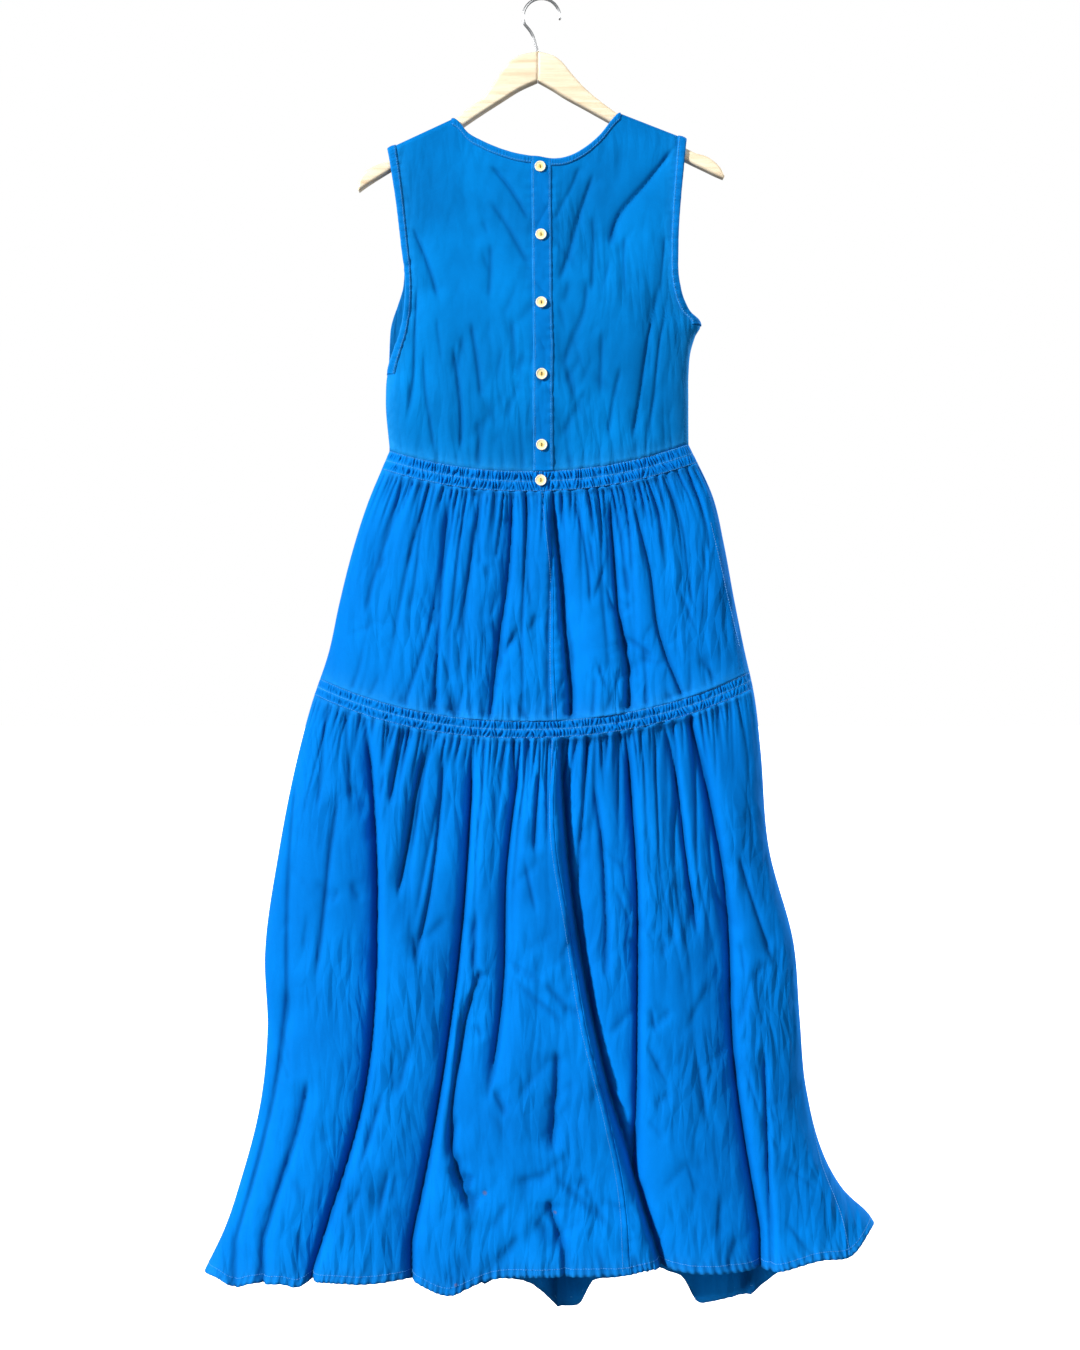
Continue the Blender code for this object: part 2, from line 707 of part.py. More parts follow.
def neck_columns(shares):
    """Column at each neck point, paired with its neighbour on the shoulder."""
    found = []
    if NECK_LEFT_SHARE in shares:
        found.append((shares.index(NECK_LEFT_SHARE), shares.index(NECK_LEFT_SHARE) - 1))
    if NECK_RIGHT_SHARE in shares:
        found.append((shares.index(NECK_RIGHT_SHARE), shares.index(NECK_RIGHT_SHARE) + 1))
    return found


def bodice_panel(name, side, shares, part):
    points = bodice_grid(side, shares, BODICE_ROWS)
    points = close_seams(points, part)
    normal = grid_normals(points, side)
    for column, neighbour in neck_columns(shares):
        normal[:BINDING_ROWS, column] = normal[:BINDING_ROWS, neighbour]
    square_off(normal, LAST, ALL, 2)
    seam = np.abs(points[..., 1]) < SEAM_GAP / 2 + 1e-6
    normal[seam, 1] = 0
    if part == "left":
        square_off(normal, ALL, LAST, 0)
    if part == "right":
        square_off(normal, ALL, FIRST, 0)
    normal = normal / np.maximum(np.linalg.norm(normal, axis=-1, keepdims=True), 1e-9)
    wall(name, points, normal, WALL, COTTON)
    return points, normal


def trim(name, points, normal, rows, columns, first_gap=0.0, last_gap=0.0):
    """Strip made from a panel's own points, moved outward."""
    middle = points[rows, columns] + normal[rows, columns] * TRIM_LIFT
    middle[:, 0, 0] += first_gap
    middle[:, -1, 0] -= last_gap
    return wall(name, middle, normal[rows, columns], TRIM_WALL, COTTON)


def revolve(name, centre, lean, profile, sides, colour, rough):
    """Turned solid whose axis runs toward the viewer, tipped by lean."""
    points = []
    faces = []
    for radius, forward in profile:
        for k in range(sides):
            angle = 2 * math.pi * k / sides
            across = radius * math.cos(angle)
            up = radius * math.sin(angle)
            points.append(np.array([
                centre[0] + across,
                centre[1] - forward * math.cos(lean) - up * math.sin(lean),
                centre[2] + up * math.cos(lean) - forward * math.sin(lean),
            ]))
    rings = len(profile)
    for r in range(rings - 1):
        for k in range(sides):
            n = (k + 1) % sides
            faces.append((r * sides + k, r * sides + n, (r + 1) * sides + n, (r + 1) * sides + k))
    faces.append(tuple(range(sides - 1, -1, -1)))
    faces.append(tuple((rings - 1) * sides + k for k in range(sides)))
    return add_object(name, points, faces, colour, rough)


def arm(name, table):
    """Wooden arm with a round top edge, lofted along x."""
    reach = ARM_HALF_THICKNESS
    sections = []
    for x, top, bottom in table:
        tall = bottom - top
        curve = min(reach, ARM_CURVE_SHARE * tall)
        edge = min(ARM_EDGE, ARM_EDGE_SHARE * tall)
        wide = reach if tall > ARM_TIP_HEIGHT else reach * ARM_TIP_SHARE
        ring_points = [(-(wide - edge), -bottom), (wide - edge, -bottom),
                       (wide, -bottom + edge)]
        for step in range(ARM_ROUND_STEPS * 2 + 1):
            turn = math.pi * step / (ARM_ROUND_STEPS * 2)
            ring_points.append((wide * math.cos(turn),
                                -top - curve + curve * math.sin(turn)))
        ring_points.append((-wide, -bottom + edge))
        sections.append([(x, y, z) for y, z in ring_points])
    count = len(sections[0])
    points = [np.array(p, dtype=float) for section in sections for p in section]
    faces = []
    for s in range(len(sections) - 1):
        for k in range(count):
            n = (k + 1) % count
            faces.append((s * count + k, s * count + n, (s + 1) * count + n, (s + 1) * count + k))
    faces.append(tuple(range(count - 1, -1, -1)))
    faces.append(tuple((len(sections) - 1) * count + k for k in range(count)))
    return add_object(name, points, faces, WOOD, WOOD_ROUGH)


def hook():
    """Round wire bent to a crook over the origin."""
    path = [(x, -height) for x, height in STEM]
    turn = np.radians(np.linspace(CROOK_START_DEGREES, CROOK_END_DEGREES, CROOK_STEPS))
    for angle in turn:
        path.append((CROOK_RADIUS * math.cos(angle),
                     -CROOK_CENTRE_HEIGHT + CROOK_RADIUS * math.sin(angle)))
    curve = bpy.data.curves.new("hook", "CURVE")
    curve.dimensions = "3D"
    curve.bevel_depth = WIRE_RADIUS * MM
    curve.bevel_resolution = 2
    curve.use_fill_caps = True
    spline = curve.splines.new("POLY")
    spline.points.add(len(path) - 1)
    for point, (x, z) in zip(spline.points, path):
        point.co = (x * MM, 0.0, z * MM, 1.0)
    made = bpy.data.objects.new("hook", curve)
    COLLECTION.objects.link(made)
    curve.materials.append(material("hook_surface", METAL, METAL_ROUGH, 1.0))
    return made


def build_bodice():
    left, left_out = bodice_panel("bodice_back_left", -1, BACK_LEFT_SHARES, "left")
    right, right_out = bodice_panel("bodice_back_right", -1, BACK_RIGHT_SHARES, "right")
    front, front_out = bodice_panel("bodice_front", 1, FRONT_SHARES, "both")
    neck_left = BACK_LEFT_SHARES.index(NECK_LEFT_SHARE)
    neck_right = BACK_RIGHT_SHARES.index(NECK_RIGHT_SHARE)
    front_left = FRONT_SHARES.index(NECK_LEFT_SHARE)
    front_right = FRONT_SHARES.index(NECK_RIGHT_SHARE)
    band = slice(0, BINDING_ROWS)
    half = SEAM_GAP / 2
    trim("neck_binding_back_left", left, left_out, band, slice(neck_left, -1), last_gap=half)
    trim("neck_binding_back_right", right, right_out, band, slice(1, neck_right + 1),
         first_gap=half)
    trim("neck_binding_front", front, front_out, band, slice(front_left, front_right + 1))
    near_left = slice(0, ARMHOLE_BINDING_COLUMNS)
    near_right = slice(-ARMHOLE_BINDING_COLUMNS, None)
    left_rows = slice(0, BODICE_ROWS.index(LEFT_BINDING_END) + 1)
    right_rows = slice(0, BODICE_ROWS.index(RIGHT_BINDING_END) + 1)
    trim("armhole_binding_left_back", left, left_out, left_rows, near_left)
    trim("armhole_binding_left_front", front, front_out, left_rows, near_left)
    trim("armhole_binding_right_back", right, right_out, right_rows, near_right)
    trim("armhole_binding_right_front", front, front_out, right_rows, near_right)
    placket = np.concatenate([left[:, -2:-1], right[:, :1] * 0.5 + left[:, -1:] * 0.5,
                              right[:, 1:2]], axis=1)
    placket_out = np.concatenate([left_out[:, -2:-1], right_out[:, :1], right_out[:, 1:2]], axis=1)
    middle = placket + placket_out * TRIM_LIFT
    wall("button_placket", middle, placket_out, TRIM_WALL, COTTON)
    return middle


def placket_face(placket, x, drop):
    """Depth of the placket's outer face at a point."""
    columns = [np.interp(drop, -placket[:, c, 2], placket[:, c, 1]) for c in range(3)]
    places = [np.interp(drop, -placket[:, c, 2], placket[:, c, 0]) for c in range(3)]
    return np.interp(x, places, columns) - TRIM_WALL / 2


def build_buttons(placket):
    radius = BUTTON_RADIUS
    thick = BUTTON_THICKNESS
    profile = [(radius * wide, thick * tall) for wide, tall in BUTTON_PROFILE]
    waist = -placket[-1, 1, 2]
    for number, (height, x) in enumerate(BUTTONS, start=1):
        lean = 0.0
        rest = -(ring("back_depth", WAIST_BOTTOM) + WALL / 2 + BAND_PUFF + BUTTON_SEAT)
        if height < waist - radius:
            above = placket_face(placket, x, height - radius)
            below = placket_face(placket, x, height + radius)
            lean = math.atan2(below - above, 2 * radius)
            offsets = []
            for turn in np.linspace(0, 2 * math.pi, BUTTON_SIDES, endpoint=False):
                up = radius * math.sin(turn)
                face = placket_face(placket, x + radius * math.cos(turn), height - up)
                offsets.append(face + up * math.tan(lean))
            rest = min(offsets)
        revolve(f"button_{number}", (x, rest - SEAM_GAP, -height), lean, profile,
                BUTTON_SIDES, SHELL, SHELL_ROUGH)


def build_skirt():
    parts = (("back_left", BACK, "left", (-1.0, SEAM_AT)),
             ("back_right", BACK, "right", (SEAM_AT, 1.0)),
             ("front", FRONT, "both", (-1.0, 1.0)))
    half = SEAM_GAP / 2
    for tag, side, part, span in parts:
        upper = UPPER_GATHERS[0] if side < 0 else UPPER_GATHERS[1]
        lower = LOWER_GATHERS[0] if side < 0 else LOWER_GATHERS[1]
        upper_folds = UPPER_BACK_FOLDS if side < 0 else UPPER_FRONT_FOLDS
        lower_folds = LOWER_BACK_FOLDS if side < 0 else LOWER_FRONT_FOLDS
        band_panel("waist_band_" + tag, side, span, (WAIST_TOP + half, WAIST_BOTTOM - half),
                   upper, part, 0.0)
        skirt_panel("upper_tier_" + tag, side, span,
                    (WAIST_BOTTOM + half, LOWER_BAND_TOP - half), upper_folds,
                    UPPER_GATHERS, part, UPPER_ROWS if side < 0 else UPPER_FRONT_ROWS)
        band_panel("lower_band_" + tag, side, span,
                   (LOWER_BAND_TOP + half, LOWER_BAND_BOTTOM - half), lower, part,
                   LOWER_BAND_INSET)
        skirt_panel("lower_tier_" + tag, side, span, (LOWER_BAND_BOTTOM + half, HEM),
                    lower_folds, LOWER_GATHERS, part,
                    LOWER_ROWS if side < 0 else LOWER_FRONT_ROWS)


for old in list(bpy.data.objects):
    bpy.data.objects.remove(old, do_unlink=True)
COLLECTION = bpy.data.collections.new("a_line_dress")
bpy.context.scene.collection.children.link(COLLECTION)

build_buttons(build_bodice())
build_skirt()
arm("hanger_arm_left", LEFT_ARM)
arm("hanger_arm_right", RIGHT_ARM)
hook()
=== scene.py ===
# %% [markdown]
# A sleeveless tiered cotton dress on a wooden hanger. The CAD model is loaded as a
# fixed frame: it gives the sizes and the place of every piece. Each cloth solid is
# then replaced by a thin shell of the same form, with the finer folds, gathers,
# shirring and stitches that a rigid solid is too coarse for.

import math

import bmesh
import bpy
import numpy as np
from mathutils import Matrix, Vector


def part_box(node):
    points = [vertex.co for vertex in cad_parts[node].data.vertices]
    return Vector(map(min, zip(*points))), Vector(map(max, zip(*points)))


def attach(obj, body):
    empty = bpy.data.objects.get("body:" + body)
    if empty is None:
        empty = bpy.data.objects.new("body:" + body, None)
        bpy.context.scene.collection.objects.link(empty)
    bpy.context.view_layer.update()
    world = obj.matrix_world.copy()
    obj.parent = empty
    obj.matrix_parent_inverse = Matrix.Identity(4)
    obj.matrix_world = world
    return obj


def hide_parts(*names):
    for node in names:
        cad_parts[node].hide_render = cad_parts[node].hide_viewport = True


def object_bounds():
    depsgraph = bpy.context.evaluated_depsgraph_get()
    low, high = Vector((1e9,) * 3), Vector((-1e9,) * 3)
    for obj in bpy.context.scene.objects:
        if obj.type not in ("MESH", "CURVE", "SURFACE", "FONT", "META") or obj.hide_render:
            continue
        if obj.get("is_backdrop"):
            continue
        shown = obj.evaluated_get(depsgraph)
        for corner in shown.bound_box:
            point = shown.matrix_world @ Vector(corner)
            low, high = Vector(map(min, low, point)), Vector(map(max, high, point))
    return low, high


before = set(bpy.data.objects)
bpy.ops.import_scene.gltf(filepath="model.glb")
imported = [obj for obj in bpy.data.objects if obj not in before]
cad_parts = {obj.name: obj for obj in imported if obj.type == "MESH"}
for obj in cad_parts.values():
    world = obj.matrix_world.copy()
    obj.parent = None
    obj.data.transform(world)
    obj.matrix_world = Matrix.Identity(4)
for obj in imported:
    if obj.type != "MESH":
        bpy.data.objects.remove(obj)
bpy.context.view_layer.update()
MM = 0.001

# %% [markdown]
# The camera comes first. The photo was taken straight on, from about two metres, with
# the lens level with the middle of the dress, so the hanger is seen a little from below.
# At the hanger's plane one pixel of the photo is 1.2 mm.

# %% Camera
PHOTO_PIXEL, PHOTO_ROWS = 1.2 * MM, 1350
SENSOR_WIDTH = 36
VIEW_DISTANCE, VIEW_HEIGHT, VIEW_ASIDE = 2.05, -0.81, -0.0018
camera_data = bpy.data.cameras.new("camera")
camera_data.sensor_width = SENSOR_WIDTH
camera_data.lens = SENSOR_WIDTH * VIEW_DISTANCE / (PHOTO_ROWS * PHOTO_PIXEL)
camera = bpy.data.objects.new("camera", camera_data)
camera.location = (VIEW_ASIDE, -VIEW_DISTANCE, VIEW_HEIGHT)
camera.rotation_euler = (math.pi / 2, 0, 0)
bpy.context.scene.collection.objects.link(camera)
bpy.context.scene.camera = camera
print("lens, mm:", round(camera_data.lens, 1))

# %% [markdown]
# The form of the skirt is a table of rings, one row for each height: the two side edges
# of the outline, how deep the ring is at the back and at the front, and how far it sags
# below its side seams. Smooth curves through the rows give every ring in between.
# Working from a few named rows keeps the whole skirt easy to correct.

# %% Sizes of the skirt, in millimetres
SHELL = 0.7
ROUNDNESS = 2.5
RING_COLUMNS = ("height", "left", "right", "back_depth", "front_depth",
                "back_sag", "front_sag")
RINGS = (
    (538, -182, 176, 30, 32, 31, 24),
    (600, -208, 205, 34, 35, 36, 28),
    (660, -227, 219, 38, 38, 41, 32),
    (720, -242, 230, 42, 42, 46, 36),
    (780, -255, 242, 47, 46, 52, 42),
    (840, -275, 255, 51, 50, 55, 46),
    (900, -291, 262, 55, 53, 54, 46),
    (1020, -315, 272, 60, 57, 46, 44),
    (1140, -331, 302, 65, 60, 32, 40),
    (1230, -328, 309, 68, 62, 20, 36),
    (1320, -337, 317, 70, 62, 8, 32),
    (1410, -360, 341, 71, 62, -2, 32),
    (1470, -380, 375, 72, 62, -7, 34),
    (1518, -403, 398, 72, 62, -10, 38),
)
RIGHT_SIDE_RISE = 4.0
SAG_POWER = 2.2
WAIST_TOP, WAIST_BOTTOM = 538.0, 560.0
LOWER_BAND_TOP, LOWER_BAND_BOTTOM = 810.0, 829.0
HEM = 1518.0
BACK, FRONT, BOTH = -1, 1, 0
HEM_DIPS = ((BACK, -366, 18, 15, 15), (BACK, -330, 12, 50, 50), (BACK, -289, 9, 13, 13),
            (BACK, -205, 7, 55, 55), (BACK, -108, 20, 34, 34), (BACK, 134, -7, 28, 28),
            (FRONT, 42, 31, 46, 15), (FRONT, 128, -12, 26, 26), (FRONT, 200, 42, 20, 94),
            (BOTH, 335, -15, 45, 45), (BOTH, 402, -48, 28, 28))
CENTRE_SEAM = ((538, -0.6), (560, 4), (640, 15), (760, 16), (829, 20), (950, 19),
               (1060, 36), (1200, 56), (1320, 82), (1420, 98), (1518, 103))

# %% Curves through the tables


def column(table, place):
    return np.array([row[place] for row in table], dtype=float)


def smooth(xs, ys, x):
    """Cubic curve through a table, held level past its ends."""
    slope = np.gradient(ys, xs)
    x = np.clip(x, xs[0], xs[-1])
    cell = np.clip(np.searchsorted(xs, x, side="right") - 1, 0, len(xs) - 2)
    span = xs[cell + 1] - xs[cell]
    s = (x - xs[cell]) / span
    h00 = 2 * s**3 - 3 * s**2 + 1
    h10 = s**3 - 2 * s**2 + s
    h01 = 3 * s**2 - 2 * s**3
    h11 = s**3 - s**2
    return (h00 * ys[cell] + h10 * span * slope[cell]
            + h01 * ys[cell + 1] + h11 * span * slope[cell + 1])


def ring(name, height):
    return smooth(column(RINGS, 0), column(RINGS, RING_COLUMNS.index(name)), height)


def fade(value):
    value = np.clip(value, 0.0, 1.0)
    return value * value * (3 - 2 * value)


print("hem edges, mm:", float(ring("left", HEM)), float(ring("right", HEM)))

# %% [markdown]
# Seen from above, half a ring is a rounded box. A place on it is a share of the cloth's
# own length, from -1 at the left side seam to 1 at the right one. A table turns shares
# into angles, so the columns of a grid sit evenly along the cloth.

# %% Section of a ring
ARC_STEPS, ARC_RATIO = 4001, 0.2


def section(angle):
    """How far across and how deep half a ring lies at an angle, both at most 1."""
    across = np.sign(np.sin(angle)) * np.abs(np.sin(angle)) ** (2 / ROUNDNESS)
    return across, np.cos(angle).clip(0) ** (2 / ROUNDNESS)


def arc_table():
    angle = np.linspace(-math.pi / 2, math.pi / 2, ARC_STEPS)
    across, closing = section(angle)
    step = np.hypot(np.diff(across), np.diff(ARC_RATIO * closing))
    length = np.concatenate([[0.0], np.cumsum(step)])
    return length / length[-1] * 2 - 1, angle


ARC_SHARE, ARC_ANGLE = arc_table()


def ring_place(hang, share, height):
    """The x, the drop and the share of the full depth on a sagging ring."""
    across, closing = section(np.interp(share, ARC_SHARE, ARC_ANGLE))
    left, right = ring("left", height), ring("right", height)
    x = (left + right) / 2 + (right - left) / 2 * across
    drop = height - RIGHT_SIDE_RISE * across
    drop = drop + ring(hang + "_sag", height) * (1 - np.abs(across) ** SAG_POWER)
    return x, drop, closing


def uneven(share):
    """Shifts even shares a little so that no two gathers are alike."""
    return (share + 0.006 * np.sin(9 * share + 1) + 0.004 * np.sin(23 * share)
            - 0.006 * math.sin(1) * (1 - share**2))


def centre_seam(height):
    return smooth(column(CENTRE_SEAM, 0), column(CENTRE_SEAM, 1), height)


def seam_share(height):
    """How far across the back the centre seam lies at each height."""
    left, right = ring("left", height), ring("right", height)
    across = (centre_seam(height) - (left + right) / 2) / ((right - left) / 2)
    return np.interp(across, section(ARC_ANGLE)[0], ARC_SHARE)


print("seam share at the hem:", round(float(seam_share(np.array(HEM))), 3))

# %% [markdown]
# Gathered poplin falls in rounded ridges with narrow troughs between them. Each large
# fold is a row: where it starts and ends, four x positions down its length, its depth,
# its half width, how much it leans over to one side, and whether it runs on to the next
# seam. The rows were read from the photo for the back, and the front gets similar ones.

# %% Large folds of the back
LOWER_BACK_FOLDS = (
    (847, 968, -257, -258, -261, -266, 9, 9, 0.0, 0),
    (951, 1172, -240, -250, -257, -266, 11, 13, 0.2, 0),
    (1290, 1476, -275, -290, -310, -329, 24, 14, 0.3, 1),
    (858, 964, -231, -230, -228, -226, 9, 7, 0.0, 0),
    (866, 1511, -208, -198, -211, -273, 44, 15, 0.35, 1),
    (873, 964, -161, -167, -174, -181, 13, 9, -0.2, 0),
    (902, 1074, -139, -150, -159, -171, 18, 11, -0.2, 0),
    (902, 1148, -115, -121, -131, -148, 13, 8, 0.0, 0),
    (897, 1474, -83, -95, -118, -155, 35, 14, 0.3, 1),
    (1169, 1445, -80, -99, -106, -80, 17, 12, -0.3, 0),
    (902, 1313, -26, -43, -47, -64, 28, 16, 0.25, 0),
    (927, 1020, -4, -6, -8, -9, 11, 7, 0.0, 0),
    (1249, 1369, 19, 17, 14, 11, 13, 12, 0.2, 0),
    (1422, 1482, 9, 14, 21, 27, 13, 10, 0.0, 1),
    (878, 1500, 24, 42, 82, 144, 40, 14, -0.35, 1),
    (942, 1172, 63, 72, 76, 77, 14, 9, 0.2, 0),
    (866, 1440, 97, 110, 110, 112, 31, 11, 0.3, 0),
    (873, 1119, 146, 160, 170, 183, 25, 9, 0.3, 0),
    (853, 1468, 173, 214, 224, 254, 47, 18, 0.3, 1),
    (1025, 1148, 232, 245, 259, 272, 12, 13, 0.0, 0),
    (1250, 1489, 262, 263, 264, 265, 16, 8, 0.3, 1),
    (930, 1240, -293, -300, -301, -300, 13, 12, 0.0, 0),
    (1190, 1480, -300, -314, -336, -364, 25, 13, 0.2, 1),
)
UPPER_BACK_FOLDS = (
    (581, 746, -165, -180, -198, -211, 10, 9, 0.0, 0),
    (589, 746, -137, -143, -149, -157, 6, 6, 0.0, 0),
    (603, 839, -112, -120, -134, -159, 9, 8, 0.2, 1),
    (606, 820, -110, -117, -121, -125, 14, 7, 0.2, 1),
    (636, 776, -81, -85, -92, -102, 6, 7, 0.0, 0),
    (606, 687, -75, -74, -73, -72, 5, 5, 0.0, 0),
    (624, 675, -44, -47, -51, -54, 5, 6, 0.0, 0),
    (606, 860, -35, -40, -52, -61, 21, 8, 0.2, 1),
    (606, 733, -14, -15, -16, -12, 6, 6, 0.0, 0),
    (606, 835, 15, 23, 29, 36, 30, 8, -0.3, 1),
    (606, 733, 40, 50, 56, 58, 8, 6, 0.0, 0),
    (606, 800, 82, 87, 92, 104, 30, 8, -0.2, 1),
    (606, 839, 109, 128, 139, 168, 16, 8, -0.2, 1),
    (589, 733, 155, 168, 173, 180, 8, 6, 0.0, 0),
    (575, 668, 175, 190, 198, 200, 8, 6, 0.0, 0),
)
print("folds of the back:", len(LOWER_BACK_FOLDS) + len(UPPER_BACK_FOLDS))

# %% Large folds of the front
LOWER_FRONT_FOLDS = (
    (860, 1540, -235, -240, -262, -300, 27, 15, 0.2, 1),
    (866, 1100, -205, -206, -212, -218, 10, 9, 0.0, 0),
    (866, 1540, -160, -172, -180, -190, 37, 15, -0.3, 1),
    (866, 1200, -100, -108, -112, -118, 15, 11, 0.2, 0),
    (866, 1560, -45, -38, -52, -70, 31, 14, 0.3, 1),
    (1180, 1540, -112, -120, -128, -130, 14, 13, 0.0, 1),
    (866, 1560, 20, 26, 30, 20, 25, 13, -0.3, 1),
    (900, 1060, 60, 60, 62, 66, 10, 9, 0.0, 0),
    (866, 1560, 92, 104, 112, 128, 37, 15, 0.3, 1),
    (870, 1180, 150, 160, 166, 172, 15, 10, 0.0, 0),
    (850, 1540, 196, 214, 226, 258, 33, 15, -0.2, 1),
)
UPPER_FRONT_FOLDS = (
    (580, 830, -150, -160, -172, -190, 10, 9, 0.0, 1),
    (590, 840, -96, -104, -112, -120, 13, 8, 0.2, 1),
    (590, 760, -50, -52, -56, -60, 8, 7, 0.0, 0),
    (590, 850, -6, -8, -10, -14, 13, 8, -0.2, 1),
    (590, 720, 26, 27, 28, 29, 6, 6, 0.0, 0),
    (590, 840, 52, 58, 64, 72, 12, 8, 0.2, 1),
    (590, 770, 96, 102, 108, 114, 8, 7, 0.0, 0),
    (580, 830, 140, 152, 162, 176, 12, 8, 0.0, 1),
)
print("folds of the front:", len(LOWER_FRONT_FOLDS) + len(UPPER_FRONT_FOLDS))

# %% [markdown]
# A fold is a narrow crease in the middle of a wide shallow trough. It grows and dies away
# along its path, reaches further to the side it leans to, and draws the cloth that way.

# %% Shape of a large fold
# share of its length over which a fold grows, and how much of that lies above its start
FOLD_FADE, FOLD_LEAD = 0.16, 0.3
FOLD_LIMIT, FOLD_EDGE, FOLD_SKEW = 0.80, 0.5, 2.1
# share of a fold's depth that lies in its narrow crease, and how wide its two parts are
CREASE_SHARE, CREASE_REACH, SLOPE_REACH = 0.54, 0.24, 1.35
CREASE_POWER, SLOPE_POWER = 1.2, 1.35
LEAN_SHARE, LEAN_REACH = 0.35, 1.6
PATH_SHARES = np.array([0.0, 1 / 3, 2 / 3, 1.0])


def fold_shape(folds, x, drop):
    """Inward depth and sideways lean of all the folds at once."""
    depth_sum = np.zeros(np.broadcast(x, drop).shape)
    lean_sum = np.zeros_like(depth_sum)
    for top, bottom, xa, xb, xc, xd, depth, width, lean, runs_on in folds:
        s = (drop - top) / (bottom - top)
        path = smooth(PATH_SHARES, np.array([xa, xb, xc, xd], dtype=float), s)
        strength = fade(s / FOLD_FADE + FOLD_LEAD)
        if not runs_on:
            strength = strength * fade((1 - s) / FOLD_FADE)
        strength = np.where(s < -FOLD_LEAD * FOLD_FADE, 0.0, strength)
        reach = width * np.where(x < path, 1 + FOLD_SKEW * lean, 1 - FOLD_SKEW * lean)
        away = np.hypot(x - path, FOLD_EDGE)
        crease = np.exp(-((away / (CREASE_REACH * reach)) ** CREASE_POWER))
        slope = np.exp(-((away / (SLOPE_REACH * reach)) ** SLOPE_POWER))
        bell = CREASE_SHARE * crease + (1 - CREASE_SHARE) * slope
        depth_sum = depth_sum + depth * strength * bell
        pull = lean * LEAN_SHARE * depth * strength
        lean_sum = lean_sum + pull * np.exp(-((x - path) / (LEAN_REACH * width)) ** 2)
    return depth_sum, lean_sum


deepest = fold_shape(LOWER_BACK_FOLDS, np.arange(-300.0, 300.0), 1200.0)[0].max()
print("deepest fold 1.2 m below the hook, mm:", round(float(deepest), 1))

# %% [markdown]
# Under each band the cloth is drawn up into small gathers. On the real dress each one
# runs down a different distance before it dies into a larger fold. A seeded table gives
# every gather its own place, length, depth and width, so the result is uneven but the
# same on each run.

# %% Small gathers
GATHER_JITTER, GATHER_SHORTEST = 0.9, 22
GATHER_DEPTH, GATHER_DEEPER = 1.6, 6.6
GATHER_WIDTH, GATHER_WIDER = 0.15, 0.42
SHORT_LONGEST = 42


def gather_rows(seed, count, longest):
    """Place (share), length, depth, half width (share) and drift of each gather."""
    dice = np.random.RandomState(seed)
    jitter = dice.uniform(-GATHER_JITTER, GATHER_JITTER, count) / count
    place = (np.arange(count) + 0.5) / count * 2 - 1 + jitter
    length = GATHER_SHORTEST + longest * dice.beta(1.1, 2.1, count)
    depth = GATHER_DEPTH + GATHER_DEEPER * dice.beta(1.2, 1.6, count)
    depth = depth * (0.7 + 0.7 * length / longest)
    width = (GATHER_WIDTH + GATHER_WIDER * dice.beta(1.2, 2.0, count)) / count
    drift = dice.uniform(-1, 1, count) / count
    return np.stack([place, length, depth, width, drift], axis=1)


def all_gathers(seed, count, longest, short_count):
    """Long gathers, and about twice as many short ones close under the seam."""
    short = gather_rows(seed + 100, short_count, SHORT_LONGEST)
    return np.concatenate([gather_rows(seed, count, longest), short])


def gather_depth(rows, share, below):
    """Inward depth of the gathers at a distance below their band, in millimetres."""
    below = np.maximum(below, 0)
    total = np.zeros(np.broadcast(share, below).shape)
    for place, length, depth, width, drift in rows:
        s = below / length
        path = place + drift * s + 0.18 * width * np.sin(below / 19 + 40 * place)
        strength = fade(below / 5 + 0.55) * np.exp(-(s**1.7))
        spread = width * (1 + 0.7 * s)
        total = total + depth * strength * np.exp(-np.abs((share - path) / spread) ** 1.1)
    return total


print("gathers under the waist band at the back:", len(all_gathers(11, 34, 190, 62)))

# %% [markdown]
# Nothing on cotton that has been washed and hung is quite even. Random hills between the
# points of a square grid break the surface into flat facets, and a few slow waves bend
# it as a whole. Both come from seeded tables.

# %% Unevenness of the cloth
def hills(x, y, seed):
    """Smooth random hills about one unit apart, between -1 and 1."""
    table = np.random.RandomState(seed).uniform(-1, 1, (64, 64))
    across, down = np.floor(x).astype(int), np.floor(y).astype(int)
    fx, fy = fade(x - across), fade(y - down)
    a, b = table[across % 64, down % 64], table[(across + 1) % 64, down % 64]
    c, d = table[across % 64, (down + 1) % 64], table[(across + 1) % 64, (down + 1) % 64]
    return (a * (1 - fx) + b * fx) * (1 - fy) + (c * (1 - fx) + d * fx) * fy


# size in mm, height in mm, turn in radians, how much longer than wide
CRUMPLES = ((46, 3.6, 0.10, 3.4), (27, 2.5, -0.22, 3.0), (17, 1.5, 0.30, 2.4),
            (11, 0.8, -0.7, 1.6))


def crumple(x, drop, seed):
    """Flat facets between sharp small creases, as pressed and worn poplin shows."""
    total = 0
    for number, (size, height, turn, longer) in enumerate(CRUMPLES):
        u = (x * math.cos(turn) + drop * math.sin(turn)) / size
        v = (drop * math.cos(turn) - x * math.sin(turn)) / (size * longer)
        first = hills(u, v, seed + 10 * number)
        second = hills(u + 9.3, v + 4.1, seed + 10 * number + 1)
        total = total + height * (np.sqrt(first**2 + 0.0006) - np.sqrt(second**2 + 0.0006))
    return total


def ripples(share, count, wander, speed):
    """Angle of uneven small puckers along an edge."""
    return count * share + wander * np.sin(speed * share)


def soft_noise(share, height, seed, wide, tall):
    """Slow, smooth unevenness of the cloth, between about -1 and 1."""
    dice = np.random.RandomState(seed)
    total = 0
    for _ in range(7):
        a, b = dice.uniform(0.5, 1.5, 2)
        p, q = dice.uniform(0, 2 * math.pi, 2)
        down = b * height / tall
        across = np.sin(a * wide * share + p + 1.3 * np.sin(down + q))
        total = total + across * np.sin(down * 1.7 + q)
    return total / 3.2


print("layers of facets:", len(CRUMPLES))

